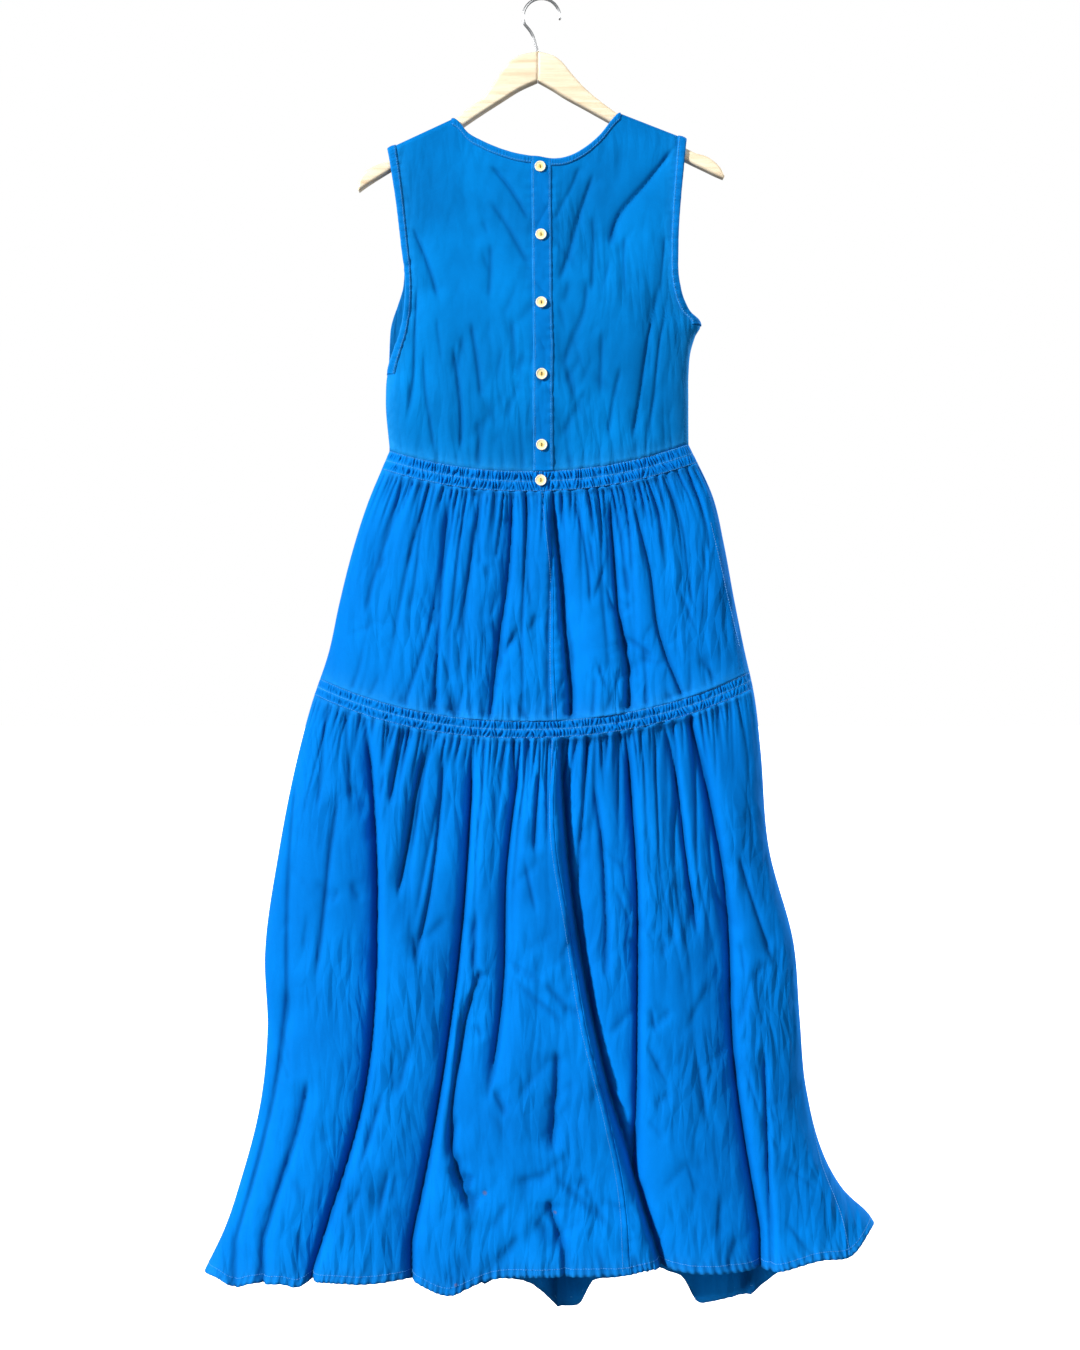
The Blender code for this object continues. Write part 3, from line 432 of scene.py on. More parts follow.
# %% [markdown]
# Poplin keeps the sharp creases of packing and sitting. The clear ones are rows read from
# the photo, and many small ones between them come from a seeded table. Each is a straight
# line, steep on one side and easy on the other, and fades out at both ends.

# %% Creases read from the photo
# both ends (x, drop), depth, and reach to the left and right of the line going down
BACK_CREASES = (
    (-266, 1052, -242, 1078, 5, 14, 3), (-246, 1078, -238, 1062, 4, 4, 9),
    (-226, 938, -205, 975, 6, 12, 3), (-205, 975, -208, 1010, 5, 3, 9),
    (-186, 925, -196, 962, 5, 8, 3), (-118, 942, -150, 1110, 6, 14, 4),
    (-150, 1110, -146, 1150, 5, 5, 12), (-78, 1085, -82, 1170, 9, 14, 4),
    (-82, 1170, -66, 1158, 6, 3, 10), (-92, 1175, -104, 1290, 7, 4, 14),
    (-46, 1145, 2, 1168, 6, 5, 16), (2, 1168, 30, 1196, 5, 4, 14),
    (-40, 1160, 36, 1222, 5, 16, 4), (20, 1196, 55, 1206, 4, 4, 10),
    (104, 1098, 132, 1120, 5, 4, 12), (132, 1120, 160, 1112, 4, 4, 12),
    (100, 1116, 118, 1148, 4, 10, 3), (148, 1060, 190, 1064, 3, 4, 10),
    (196, 1060, 232, 1122, 7, 4, 16), (232, 1122, 236, 1164, 6, 12, 4),
    (266, 1146, 244, 1170, 5, 4, 12), (244, 1170, 226, 1236, 7, 14, 4),
    (226, 1236, 258, 1246, 5, 3, 12), (272, 1150, 286, 1134, 4, 4, 12),
    (232, 1262, 256, 1330, 6, 14, 4), (256, 1330, 280, 1372, 5, 5, 14),
    (-58, 1290, -40, 1322, 5, 5, 12), (-96, 1322, -110, 1380, 8, 14, 4),
    (-110, 1380, -86, 1410, 6, 3, 14), (-86, 1410, -74, 1426, 5, 10, 3),
    (-186, 1296, -216, 1392, 8, 16, 4), (-176, 1382, -190, 1440, 7, 12, 4),
    (-34, 1400, 12, 1390, 5, 14, 4), (12, 1390, 84, 1452, 6, 4, 16),
    (-12, 1440, 40, 1478, 4, 12, 4), (66, 1280, 108, 1330, 6, 12, 4),
    (108, 1330, 118, 1400, 6, 14, 4), (118, 1400, 136, 1470, 6, 12, 4),
    (70, 1420, 122, 1440, 4, 10, 4), (282, 1384, 330, 1420, 5, 12, 4),
    (-322, 1350, -300, 1372, 4, 4, 10), (-300, 1180, -312, 1262, 6, 12, 4),
    (-312, 1262, -296, 1290, 5, 3, 10), (180, 1250, 196, 1350, 5, 14, 5),
    (-152, 1236, -168, 1300, 4, 10, 4), (-22, 1020, -6, 1090, 5, 10, 4),
    (30, 1086, 52, 1150, 5, 4, 12), (-208, 1130, -196, 1190, 4, 10, 4),
    (-244, 742, -170, 752, 3, 3, 9), (-232, 764, -196, 748, 3, 9, 3),
    (-130, 700, -126, 760, 4, 9, 3), (98, 762, 136, 792, 6, 10, 3),
    (112, 790, 150, 800, 4, 3, 8), (76, 700, 92, 742, 5, 9, 3),
    (56, 640, 66, 700, 4, 8, 3), (196, 640, 190, 760, 4, 9, 3),
    (160, 700, 186, 764, 3, 8, 3), (-60, 742, -42, 790, 4, 9, 3),
    (-190, 640, -206, 700, 3, 9, 4), (30, 712, 22, 778, 3, 8, 3),
)
FRONT_CREASES = (
    (-236, 1020, -214, 1076, 6, 12, 4), (-214, 1076, -220, 1130, 5, 4, 12),
    (-120, 1160, -88, 1190, 6, 4, 14), (-88, 1190, -96, 1262, 6, 14, 4),
    (-20, 1240, 30, 1262, 5, 4, 14), (30, 1262, 44, 1330, 6, 12, 4),
    (80, 1080, 112, 1120, 5, 4, 12), (112, 1120, 108, 1180, 5, 12, 4),
    (186, 1190, 214, 1250, 7, 14, 4), (214, 1250, 206, 1310, 5, 4, 12),
    (-268, 1300, -240, 1350, 6, 12, 4), (-150, 1370, -110, 1400, 5, 4, 12),
    (-40, 1420, 20, 1446, 5, 12, 4), (120, 1380, 150, 1440, 6, 4, 14),
    (250, 1340, 276, 1400, 5, 12, 4), (-180, 700, -150, 740, 3, 3, 9),
    (20, 720, 46, 770, 3, 9, 3), (130, 690, 150, 750, 4, 8, 3),
)
print("creases read:", len(BACK_CREASES), "back,", len(FRONT_CREASES), "front")

# %% Shape of a crease
CREASE_FADE, CREASE_LEAD, CREASE_EDGE = 0.4, 0.15, 0.3
# least reach in mm of an upright crease, and what a crease lying across adds to it
LEAST_REACH, SLANT_REACH = 1.4, 4.2


def crease_depth(creases, x, drop):
    """Inward depth of single straight creases that taper off at both ends."""
    total = np.zeros(np.broadcast(x, drop).shape)
    for xa, da, xb, db, depth, left, right in creases:
        length = math.hypot(xb - xa, db - da)
        along = ((x - xa) * (xb - xa) + (drop - da) * (db - da)) / length**2
        aside = ((x - xa) * (db - da) - (drop - da) * (xb - xa)) / length
        reach = np.where(aside < 0, left, right) * (0.8 + 0.6 * np.abs(along - 0.5))
        reach = np.maximum(reach, LEAST_REACH + SLANT_REACH * abs(xb - xa) / length)
        away = np.hypot(aside, CREASE_EDGE)
        ends = fade(along / CREASE_FADE + CREASE_LEAD)
        ends = ends * fade((1 - along) / CREASE_FADE + CREASE_LEAD)
        total = total + depth * ends * np.exp(-((away / reach) ** 1.05))
    return total


deepest = crease_depth(BACK_CREASES, np.arange(-300.0, 300.0), 1200.0).max()
print("deepest crease 1.2 m below the hook, mm:", round(float(deepest), 1))

# %% Small creases between them
CREASE_LENGTHS, CREASE_TURNS, CREASE_DEPTHS = (18, 70), (0.10, 0.95), (1.4, 4.2)
STEEP_SIDE, EASY_SIDE, BODICE_EASY_SIDE = (1.4, 2.4), (8, 16), (4, 10)


def small_creases(seed, count, left, right, top, bottom, easy_side=EASY_SIDE):
    """Rows like those above, short and shallow, and more of them towards the bottom."""
    dice = np.random.RandomState(seed)
    rows = []
    for _ in range(count):
        x = dice.uniform(left, right)
        drop = bottom - (bottom - top) * dice.beta(1.0, 1.7)
        length = dice.uniform(*CREASE_LENGTHS)
        turn = dice.choice((-1, 1)) * dice.uniform(*CREASE_TURNS) ** 1.3
        depth = dice.uniform(*CREASE_DEPTHS)
        reach = (dice.uniform(*STEEP_SIDE), dice.uniform(*easy_side))[::dice.choice((-1, 1))]
        end = (x + length * math.sin(turn), drop + length * math.cos(turn))
        rows.append((x, drop, *end, depth, *reach))
    return tuple(rows)


BACK_CREASES = (BACK_CREASES + small_creases(401, 110, -330, 330, 960, 1540)
                + small_creases(402, 40, -210, 200, 620, 860))
FRONT_CREASES = FRONT_CREASES + small_creases(403, 90, -320, 320, 900, 1540)
print("creases:", len(BACK_CREASES) + len(FRONT_CREASES))

# %% [markdown]
# Each tier adds its folds, gathers and creases to its rings. At the seams they are almost
# closed, as the stitches hold the cloth flat there. Along the hem the cloth dips and
# rises, and its narrow turned edge puckers a little.

# %% Facts of the two tiers
TIERS = {
    "upper": {"top": WAIST_BOTTOM, "bottom": LOWER_BAND_TOP,
              "back": (UPPER_BACK_FOLDS, all_gathers(11, 34, 190, 62), 28),
              "front": (UPPER_FRONT_FOLDS, all_gathers(12, 34, 170, 60), 24),
              "swing": (1.4, 40), "crumple": (0.20, 0.30)},
    "lower": {"top": LOWER_BAND_BOTTOM, "bottom": HEM,
              "back": (LOWER_BACK_FOLDS, all_gathers(21, 42, 320, 74), 32),
              "front": (LOWER_FRONT_FOLDS, all_gathers(22, 42, 300, 80), 28),
              "swing": (1.6, 44), "crumple": (0.20, 0.55)},
}
HEM_WIDTH = 10.0
# height of the hem's puckers in mm, how far they reach, and their ripples
HEM_PUCKER, HEM_PUCKER_RUN, HEM_RIPPLES = 1.2, 14, (330, 4, 21)
# share of a fold's depth that is left at a seam, and the run over which it grows
SEAM_DEPTH, SEAM_RUN = 0.12, 7.0
# how deep the large folds are next to their rigid solids, whose valleys are wider
FOLD_DEPTH = {"upper": 0.66, "lower": 0.86}
# how sharply a dip of the hem ends, and what shows of the small gathers above a band
DIP_POWER, FRONT_DIP_POWER, RISING_SHARE = 2.0, 2.8, 0.5
SEAM_RIDGE, SEAM_RIPPLE = 1.0, 0.55
SLOW_WAVE, SLOW_WIDE, SLOW_TALL, ROUGH_RUN = 1.6, 14, 90, 30


def pinch(away):
    """Share of a trough's depth that is left at a distance from a seam."""
    return SEAM_DEPTH + (1 - SEAM_DEPTH) * fade(away / SEAM_RUN)


def with_dips(side, x, drop, height, closing):
    """The drop with the dips of the hem, which grow from the band downwards."""
    low = fade((height - LOWER_BAND_BOTTOM) / (HEM - LOWER_BAND_BOTTOM))
    for where, place, extra, left_spread, right_spread in HEM_DIPS:
        if where in (side, BOTH):
            power = FRONT_DIP_POWER if where == FRONT else DIP_POWER
            spread = np.where(x < place, left_spread, right_spread)
            dip = low * extra * np.exp(-np.abs((x - place) / spread) ** power)
            drop = drop + dip * (1.0 if where == BOTH else closing)
    return drop


print("dips of the hem:", len(HEM_DIPS))

# %% Points of a tier
def tier_surface(tier, side, share, height):
    """Points of one tier. Side is -1 at the back and 1 at the front."""
    facts = TIERS[tier]
    hang = "back" if side < 0 else "front"
    folds, gathers, waves = facts[hang]
    x, drop, closing = ring_place(hang, share, height)
    drop = with_dips(side, x, drop, height, closing)
    depth = ring(hang + "_depth", height)
    below, above = height - facts["top"], facts["bottom"] - height
    trough, lean = fold_shape(folds, x, drop)
    trough = FOLD_DEPTH[tier] * trough + gather_depth(gathers, share, below)
    if tier == "upper":
        rising = gather_rows(31 + side, 26, 80)
        trough = trough + gather_depth(rising, share, above) * RISING_SHARE
    trough = trough + crease_depth(BACK_CREASES if side < 0 else FRONT_CREASES, x, drop)
    held = pinch(below) * (pinch(above) if tier == "upper" else 1)
    limit = FOLD_LIMIT * depth
    trough = limit * np.tanh(trough / limit) * held
    top_swing, run = facts["swing"]
    swing = top_swing * np.exp(-below / run)
    wave = swing * np.cos(math.pi * waves * uneven(share) + 1.5 * np.sin(17 * share))
    wave = wave + SLOW_WAVE * soft_noise(share, height, 5 + side, SLOW_WIDE, SLOW_TALL)
    first, last = facts["crumple"]
    rough = first + (last - first) * (below / (facts["bottom"] - facts["top"]))
    wave = wave + rough * crumple(x, drop, 71 + side) * fade(below / ROUGH_RUN)
    if tier == "lower":
        pucker = HEM_PUCKER * np.exp(-((above / HEM_PUCKER_RUN) ** 2))
        wave = wave + pucker * np.sin(ripples(share, *HEM_RIPPLES) + side)
    if side < 0:
        away = x - centre_seam(height)
        ripple = np.sin(height / 2.1 + 1.5 * np.sin(height / 17)) * np.exp(-((away / 9) ** 2))
        ridge = np.exp(-(((away + 3) / 3.2) ** 2))
        wave = wave + SEAM_RIPPLE * ripple + SEAM_RIDGE * ridge
    y = side * closing * (depth - trough + wave)
    return np.stack([x + lean * closing, y, -drop], axis=-1) * MM


print("gathers under the bands:", sum(len(TIERS[t][h][1]) for t in TIERS for h in ("back", "front")))

# %% [markdown]
# A grid of points becomes a mesh with one quad between each four neighbours. The UV map
# holds distances along the cloth in metres, so that a weave drawn on it keeps its size
# where the cloth is folded, and Solidify gives the sheet its thickness.

# %% Lengths on a grid
collection = bpy.context.scene.collection


def running_length(points, axis):
    step = np.linalg.norm(np.diff(points, axis=axis), axis=-1)
    length = np.cumsum(step, axis=axis)
    pad = [(0, 0), (0, 0)]
    pad[axis] = (1, 0)
    return np.pad(length, pad)


def grid_area(points):
    a = points[1:, :-1] - points[:-1, :-1]
    b = points[:-1, 1:] - points[:-1, :-1]
    return float(np.linalg.norm(np.cross(a, b), axis=-1).sum())


print("grids hold points in metres, with rows going down")

# %% [markdown]
# Where cloth is tucked in, less light reaches it, and this shade is painted into its colour.
# How far each point lies inside its neighbours is measured on the grid and kept as an
# attribute, which the cotton reads as a deeper blue: painted shade in the creases.

# %% Painted shade: how far cloth is tucked in
# neighbours on each side across and down the grid, and the depth in mm that counts as full shade
SHADE_REACHES = ((0, 2, 1.5), (0, 5, 4.0), (1, 0, 3.0))
SHADE_LEAST = 0.10
# rows further apart than this, in mm, are too coarse to show creases that run across
SHADE_ROW_STEP = 4.8


def painted_crease_shade(points, side):
    """How far each point lies inside its neighbours, from 0 to 1, kept as painted shade."""
    out = points[..., 1] * side / MM
    depth = np.zeros_like(out)
    row_step = float(np.linalg.norm(np.diff(points, axis=0), axis=-1).mean()) / MM
    for down, across, full in SHADE_REACHES:
        if down and row_step > SHADE_ROW_STEP:
            continue
        wide = np.pad(out, ((down, down), (across, across)), mode="reflect", reflect_type="odd")
        rows, columns = out.shape
        far = wide[2 * down:2 * down + rows, 2 * across:2 * across + columns]
        near = wide[:rows, :columns]
        depth = depth + np.clip(((far + near) / 2 - out) / full, 0, 1)
    depth = np.clip(depth - SHADE_LEAST, 0, 1)
    for _ in range(2):
        wide = np.pad(depth, 1, mode="edge")
        depth = (wide[:-2, 1:-1] + wide[2:, 1:-1] + wide[1:-1, :-2] + wide[1:-1, 2:]
                 + 2 * wide[1:-1, 1:-1]) / 6
    return depth


print("tuck reaches:", len(SHADE_REACHES))

# %% Sheet from a grid
def cloth(name, points, side, material, edge=None, thick=SHELL, nodes=()):
    """Sheet made from a grid, with UVs in metres and a mask along its worked edges."""
    rows, columns = points.shape[:2]
    index = np.arange(rows * columns).reshape(rows, columns)
    quads = np.stack([index[:-1, :-1], index[1:, :-1], index[1:, 1:], index[:-1, 1:]], axis=-1)
    quads = quads.reshape(-1, 4)
    middle = points[rows // 2, columns // 2]
    a = points[rows // 2 + 1, columns // 2] - middle
    b = points[rows // 2, columns // 2 + 1] - middle
    if np.cross(a, b)[1] * side < 0:
        quads = quads[:, ::-1]
    mesh = bpy.data.meshes.new(name)
    mesh.from_pydata(points.reshape(-1, 3).tolist(), [], quads.tolist())
    across = running_length(points, 1)
    across = across - across[:, columns // 2:columns // 2 + 1]
    down = running_length(points, 0)
    uv = np.stack([across, down], axis=-1).reshape(-1, 2)
    layer = mesh.uv_layers.new(name="cloth")
    corners = np.empty(len(mesh.loops), dtype=int)
    mesh.loops.foreach_get("vertex_index", corners)
    layer.data.foreach_set("uv", uv[corners].ravel())
    worn = mesh.attributes.new("worn", "FLOAT", "POINT")
    worn.data.foreach_set("value", np.zeros(rows * columns) if edge is None else edge.ravel())
    # painted shade: how far each point is tucked in, which darkens the cotton's colour
    crease_shade = mesh.attributes.new("crease_shade", "FLOAT", "POINT")
    crease_shade.data.foreach_set("value", painted_crease_shade(points, side).ravel())
    piece = bpy.data.objects.new(name, mesh)
    collection.objects.link(piece)
    mesh.materials.append(material)
    mesh.polygons.foreach_set("use_smooth", np.ones(len(mesh.polygons), dtype=bool))
    bpy.ops.object.select_all(action="DESELECT")
    bpy.context.view_layer.objects.active = piece
    piece.select_set(True)
    wall = piece.modifiers.new("wall", "SOLIDIFY")
    wall.thickness = thick * MM
    wall.offset = 0
    bpy.ops.object.modifier_apply(modifier=wall.name)
    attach(piece, "root")
    if nodes:
        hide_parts(*nodes)
    return piece


print("thickness of a sheet, mm:", SHELL)

# %% [markdown]
# Every free sheet says how large its flat cut is. A panel is as wide and as long as its
# longest row and column of cloth. A narrow strip is as wide as its mean, and as long as
# its area asks for.

# %% Size of a flat cut
LEAST_CUT = 0.0105


def declare(piece, points, strip=False):
    widths, lengths = running_length(points, 1)[:, -1], running_length(points, 0)[-1]
    width, length, area = float(widths.max()), float(lengths.max()), grid_area(points)
    if strip:
        width = float(widths.mean())
        width, length = max(width, LEAST_CUT), max(area / width, LEAST_CUT)
    print(piece.name, "cut %.0f x %.0f mm, area %.3f m2" % (width * 1000, length * 1000, area))


print("least side of a cut, mm:", 1000 * LEAST_CUT)


# %% [markdown]
# Every material below is a short chain of shader nodes. These helpers add one node or one
# common step each. A value given to an input is linked if it is a socket, or else set.

# %% Helpers for shader nodes
def node(tree, kind, values=None, **settings):
    made = tree.nodes.new(kind)
    for key, value in settings.items():
        setattr(made, key, value)
    for key, value in (values or {}).items():
        if isinstance(value, bpy.types.NodeSocket):
            tree.links.new(value, made.inputs[key])
        else:
            made.inputs[key].default_value = value
    return made


def math_node(tree, operation, *values):
    return node(tree, "ShaderNodeMath", dict(enumerate(values)), operation=operation).outputs[0]


def noise(tree, place, scale, detail=2.0, distortion=0.0):
    return node(tree, "ShaderNodeTexNoise", {"Vector": place, "Scale": scale, "Detail": detail,
                                             "Distortion": distortion}).outputs


def mapped(tree, place, turn, scale):
    return node(tree, "ShaderNodeMapping", {"Vector": place, "Rotation": turn,
                                            "Scale": scale}).outputs[0]


def object_place(tree):
    return node(tree, "ShaderNodeTexCoord").outputs["Object"]


def face_plane(tree, place):
    """The place as seen from the front: x across and z up."""
    axes = node(tree, "ShaderNodeSeparateXYZ", {0: place}).outputs
    return node(tree, "ShaderNodeCombineXYZ", {"X": axes["X"], "Y": axes["Z"]}).outputs[0]


print("helpers for nodes, places and noises are ready")

# %% Helpers for colours and materials
def ramp(tree, level, first, last, start=0.0, end=1.0):
    made = node(tree, "ShaderNodeValToRGB", {"Fac": level})
    for stop, place, colour in zip(made.color_ramp.elements, (start, end), (first, last)):
        stop.position = place
        stop.color = colour
    return made.outputs["Color"]


def blend(tree, factor, first, second):
    return node(tree, "ShaderNodeMix", {"Factor": factor, 6: first, 7: second},
                data_type="RGBA").outputs[2]


def bump(tree, height, strength, distance, under=None):
    values = {"Height": height, "Strength": strength, "Distance": distance}
    if under:
        values["Normal"] = under
    return node(tree, "ShaderNodeBump", values).outputs["Normal"]


def new_material(name, values):
    """A material, its node tree and its shader, with these values on the shader."""
    made = bpy.data.materials.new(name)
    made.use_nodes = True
    shader = made.node_tree.nodes["Principled BSDF"]
    for key, value in values.items():
        shader.inputs[key].default_value = value
    return made, made.node_tree, shader


def shader_group(name, inputs, outputs):
    tree = bpy.data.node_groups.new(name, "ShaderNodeTree")
    for way, sockets in (("INPUT", inputs), ("OUTPUT", outputs)):
        for socket in sockets:
            tree.interface.new_socket(name=socket, in_out=way, socket_type="NodeSocketFloat")
    return tree, node(tree, "NodeGroupInput").outputs, node(tree, "NodeGroupOutput").inputs


print("helpers for colours, reliefs and materials are ready")

# %% [markdown]
# Cotton poplin is a fine plain weave with a faint crosswise rib. Close up you see threads
# about 0.3 mm apart; from a step away only a soft, almost matt face with slightly uneven
# colour. The weave is a shader group, because cloth, bindings and bands all share it. It
# reads the UV map in metres, and gives out a colour factor and a height for bump.

# %% Weave group
THREAD_TONE, THREAD_HEIGHT, SLUB_SCALE = 0.03, 0.5, (60, 900, 1)
weave, weave_in, weave_out = shader_group("poplin_weave", ("Thread Spacing", "Slub"),
                                          ("Tone", "Height"))
flat_map = node(weave, "ShaderNodeUVMap", uv_map="cloth").outputs[0]
axes = node(weave, "ShaderNodeSeparateXYZ", {0: flat_map}).outputs
threads = []
for axis in (0, 1):
    turned = math_node(weave, "DIVIDE", axes[axis], weave_in["Thread Spacing"])
    threads.append(math_node(weave, "SINE", math_node(weave, "MULTIPLY", turned, 2 * math.pi)))
crossing = math_node(weave, "MULTIPLY", *threads)
slub = noise(weave, mapped(weave, flat_map, (0, 0, 0), SLUB_SCALE), 1.0)["Fac"]
slub = math_node(weave, "MULTIPLY", math_node(weave, "SUBTRACT", slub, 0.5), weave_in["Slub"])
tone = math_node(weave, "ADD", math_node(weave, "MULTIPLY", crossing, THREAD_TONE), slub)
raised = math_node(weave, "ADD", math_node(weave, "MULTIPLY", crossing, THREAD_HEIGHT), slub)
weave.links.new(math_node(weave, "ADD", tone, 0.5), weave_out["Tone"])
weave.links.new(raised, weave_out["Height"])
print("weave nodes:", len(weave.nodes))

# %% [markdown]
# Between its large folds worn poplin is broken into long flat facets with crisp borders.
# The distance to the borders of stretched Voronoi cells has that shape: straight ridges
# and valleys with plain slopes between them. A slow noise bends the cells and lets them
# come and go, so some stretches stay smooth.

# %% Facet group
FACET_WIDTH, FACET_LENGTH = 0.020, 0.085
# turn in radians and relative size of the two layers of facets
FACET_LAYERS = ((0.16, 1.0), (-0.42, 0.6))
BEND_SCALE, BEND_REACH = 9.0, (0.024, 0.030, 0.0)
PATCH_SCALE, PATCH_RANGE, PATCH_LEAST = 7.0, (0.34, 0.66), 0.12
facets, facets_in, facets_out = shader_group("poplin_facets", ("Strength",), ("Height",))
facet_place = face_plane(facets, object_place(facets))
bend = noise(facets, facet_place, BEND_SCALE, 1.0)["Color"]
centred = node(facets, "ShaderNodeVectorMath", {0: bend, 1: (0.5, 0.5, 0.5)},
               operation="SUBTRACT").outputs[0]
bent = node(facets, "ShaderNodeVectorMath", {0: centred, 1: BEND_REACH, 2: facet_place},
            operation="MULTIPLY_ADD").outputs[0]
layers = []
for turn, size in FACET_LAYERS:
    scale = (1 / FACET_WIDTH / size, 1 / FACET_LENGTH / size, 1)
    cells = node(facets, "ShaderNodeTexVoronoi",
                 {"Vector": mapped(facets, bent, (0, 0, turn), scale), "Scale": 1.0},
                 voronoi_dimensions="2D", feature="DISTANCE_TO_EDGE")
    layers.append(math_node(facets, "MULTIPLY", cells.outputs["Distance"], size))
patches = noise(facets, facet_place, PATCH_SCALE, 1.0)["Fac"]
strong = node(facets, "ShaderNodeMapRange",
              {"Value": patches, "From Min": PATCH_RANGE[0], "From Max": PATCH_RANGE[1],
               "To Min": PATCH_LEAST}, interpolation_type="SMOOTHSTEP").outputs["Result"]
facet_height = math_node(facets, "MULTIPLY", math_node(facets, "ADD", *layers), strong)
facets.links.new(math_node(facets, "MULTIPLY", facet_height, facets_in["Strength"]),
                 facets_out["Height"])
print("facet nodes:", len(facets.nodes))

# %% [markdown]
# The cloth's own material: a saturated sky blue, paler along the stitched edges where
# pressing has rubbed it, and with painted shade that deepens the blue inside the creases.
# The face is matt, with a little sheen from the fibre ends. The left back of the lower
# tier has three faint brown specks near its hem, and gets a copy with them.

# %% Colours of the cotton
# deep and plain blue of the weave, and the paler blue of its rubbed edges
SKIRT_BLUES = ((0.0, 0.148, 0.540, 1), (0.0, 0.194, 0.670, 1), (0.02, 0.285, 0.74, 1))
BODICE_BLUES = ((0.0, 0.138, 0.430, 1), (0.0, 0.206, 0.620, 1), (0.02, 0.290, 0.72, 1))
BINDING_BLUES = ((0.0, 0.140, 0.470, 1), (0.0, 0.185, 0.590, 1), (0.03, 0.300, 0.72, 1))
# painted shade: the dark blue that the creases are mixed towards
PAINTED_SHADE_BLUE = (0.0, 0.045, 0.190, 1)
SPECK_BROWN = (0.13, 0.10, 0.12, 1)
# x, z and radius of each speck, in metres
SPECKS = ((-0.066, -1.412, 0.0036), (-0.0995, -1.517, 0.0026), (0.0157, -1.435, 0.0028))
COTTON_FACE = {"Roughness": 0.82, "Specular IOR Level": 0.03, "Sheen Weight": 0.01,
               "Sheen Roughness": 0.45, "Sheen Tint": (0.25, 0.60, 1.0, 1.0)}
THREAD_SPACING, SLUB = 0.00055, 0.22
CLOUD_SCALE, CLOUD_STRENGTH, RUB_SCALE = 9.0, 1.5, 160.0
FACET_DEPTH, WEAVE_DEPTH = 0.0044, 0.0001


def with_specks(tree, colour, place, rub, specks):
    """The colour with soft round specks, each broken up by the rubbing noise."""
    for x, z, radius in specks:
        away = node(tree, "ShaderNodeVectorMath", {0: face_plane(tree, place), 1: (x, z, 0)},
                    operation="DISTANCE").outputs["Value"]
        speck = node(tree, "ShaderNodeMapRange",
                     {"Value": away, "From Min": radius, "From Max": 0.2 * radius},
                     interpolation_type="SMOOTHSTEP").outputs["Result"]
        colour = blend(tree, math_node(tree, "MULTIPLY", speck, rub), colour, SPECK_BROWN)
    return colour


print("specks:", len(SPECKS))

# %% Cotton
def cotton_material(name, blues, wrinkle, shade, specks=()):
    made, tree, shader = new_material(name, COTTON_FACE)
    deep, plain, pale = blues
    place = object_place(tree)
    threads = node(tree, "ShaderNodeGroup", {"Thread Spacing": THREAD_SPACING, "Slub": SLUB},
                   node_tree=weave).outputs
    cloud = math_node(tree, "SUBTRACT", noise(tree, place, CLOUD_SCALE, 4.0)["Fac"], 0.5)
    cloud = math_node(tree, "MULTIPLY", cloud, CLOUD_STRENGTH)
    level = math_node(tree, "ADD", threads["Tone"], cloud)
    colour = ramp(tree, level, deep, plain, 0.2, 0.8)
    rub = noise(tree, place, RUB_SCALE, 3.0)["Fac"]
    worn = node(tree, "ShaderNodeAttribute", attribute_name="worn").outputs["Fac"]
    colour = blend(tree, math_node(tree, "MULTIPLY", worn, rub), colour, pale)
    # painted shade: the crease attribute mixes the colour towards a dark blue
    crease_shade = node(tree, "ShaderNodeAttribute", attribute_name="crease_shade").outputs["Fac"]
    colour = blend(tree, math_node(tree, "MULTIPLY", crease_shade, shade), colour, PAINTED_SHADE_BLUE)
    colour = with_specks(tree, colour, place, rub, specks)
    tree.links.new(colour, shader.inputs["Base Color"])
    creases = node(tree, "ShaderNodeGroup", {"Strength": 1.0}, node_tree=facets).outputs
    rough = bump(tree, creases["Height"], 1.0, FACET_DEPTH * wrinkle)
    tree.links.new(bump(tree, threads["Height"], 0.25, WEAVE_DEPTH, rough),
                   shader.inputs["Normal"])
    return made


# shade: how far painted shade darkens the creases of each cloth
COTTON = cotton_material("blue_poplin", SKIRT_BLUES, wrinkle=1.0, shade=0.64)
SPECKED_COTTON = cotton_material("blue_poplin_specked", SKIRT_BLUES, wrinkle=1.0, shade=0.64,
                                 specks=SPECKS)
SMOOTH_COTTON = cotton_material("blue_poplin_smooth", BODICE_BLUES, wrinkle=0.6, shade=0.55)
BINDING = cotton_material("blue_poplin_binding", BINDING_BLUES, wrinkle=0.4, shade=0.4)
print("cloth materials:", COTTON.name, SMOOTH_COTTON.name, BINDING.name)

# %% [markdown]
# The two tiers are gathered panels: a left back, a right back and a front each. The grid
# is fine enough to carry the gathers, and its rows follow the sagging seams, so that the
# panels meet along them without a gap.

# %% Tier panels
# columns and rows of each panel's grid
PANEL_GRIDS = {
    "upper_back_left": (150, 110), "upper_back_right": (150, 110), "upper_front": (170, 60),
    "lower_back_left": (240, 160), "lower_back_right": (180, 160), "lower_front": (190, 90)}
# how pale the cloth is at its upper and lower seam, and how far that reaches in mm
TOP_WEAR, BOTTOM_WEAR = (0.4, 6), (0.7, 9)
PARTS = ("back_left", "back_right", "front")


def panel_shares(part, height, count):
    across = np.linspace(0, 1, count)[None, :]
    seam = seam_share(height)
    if part == "back_left":
        return -1 + (seam + 1) * across
    if part == "back_right":
        return seam + (1 - seam) * across
    return -1 + 2 * across + 0 * height


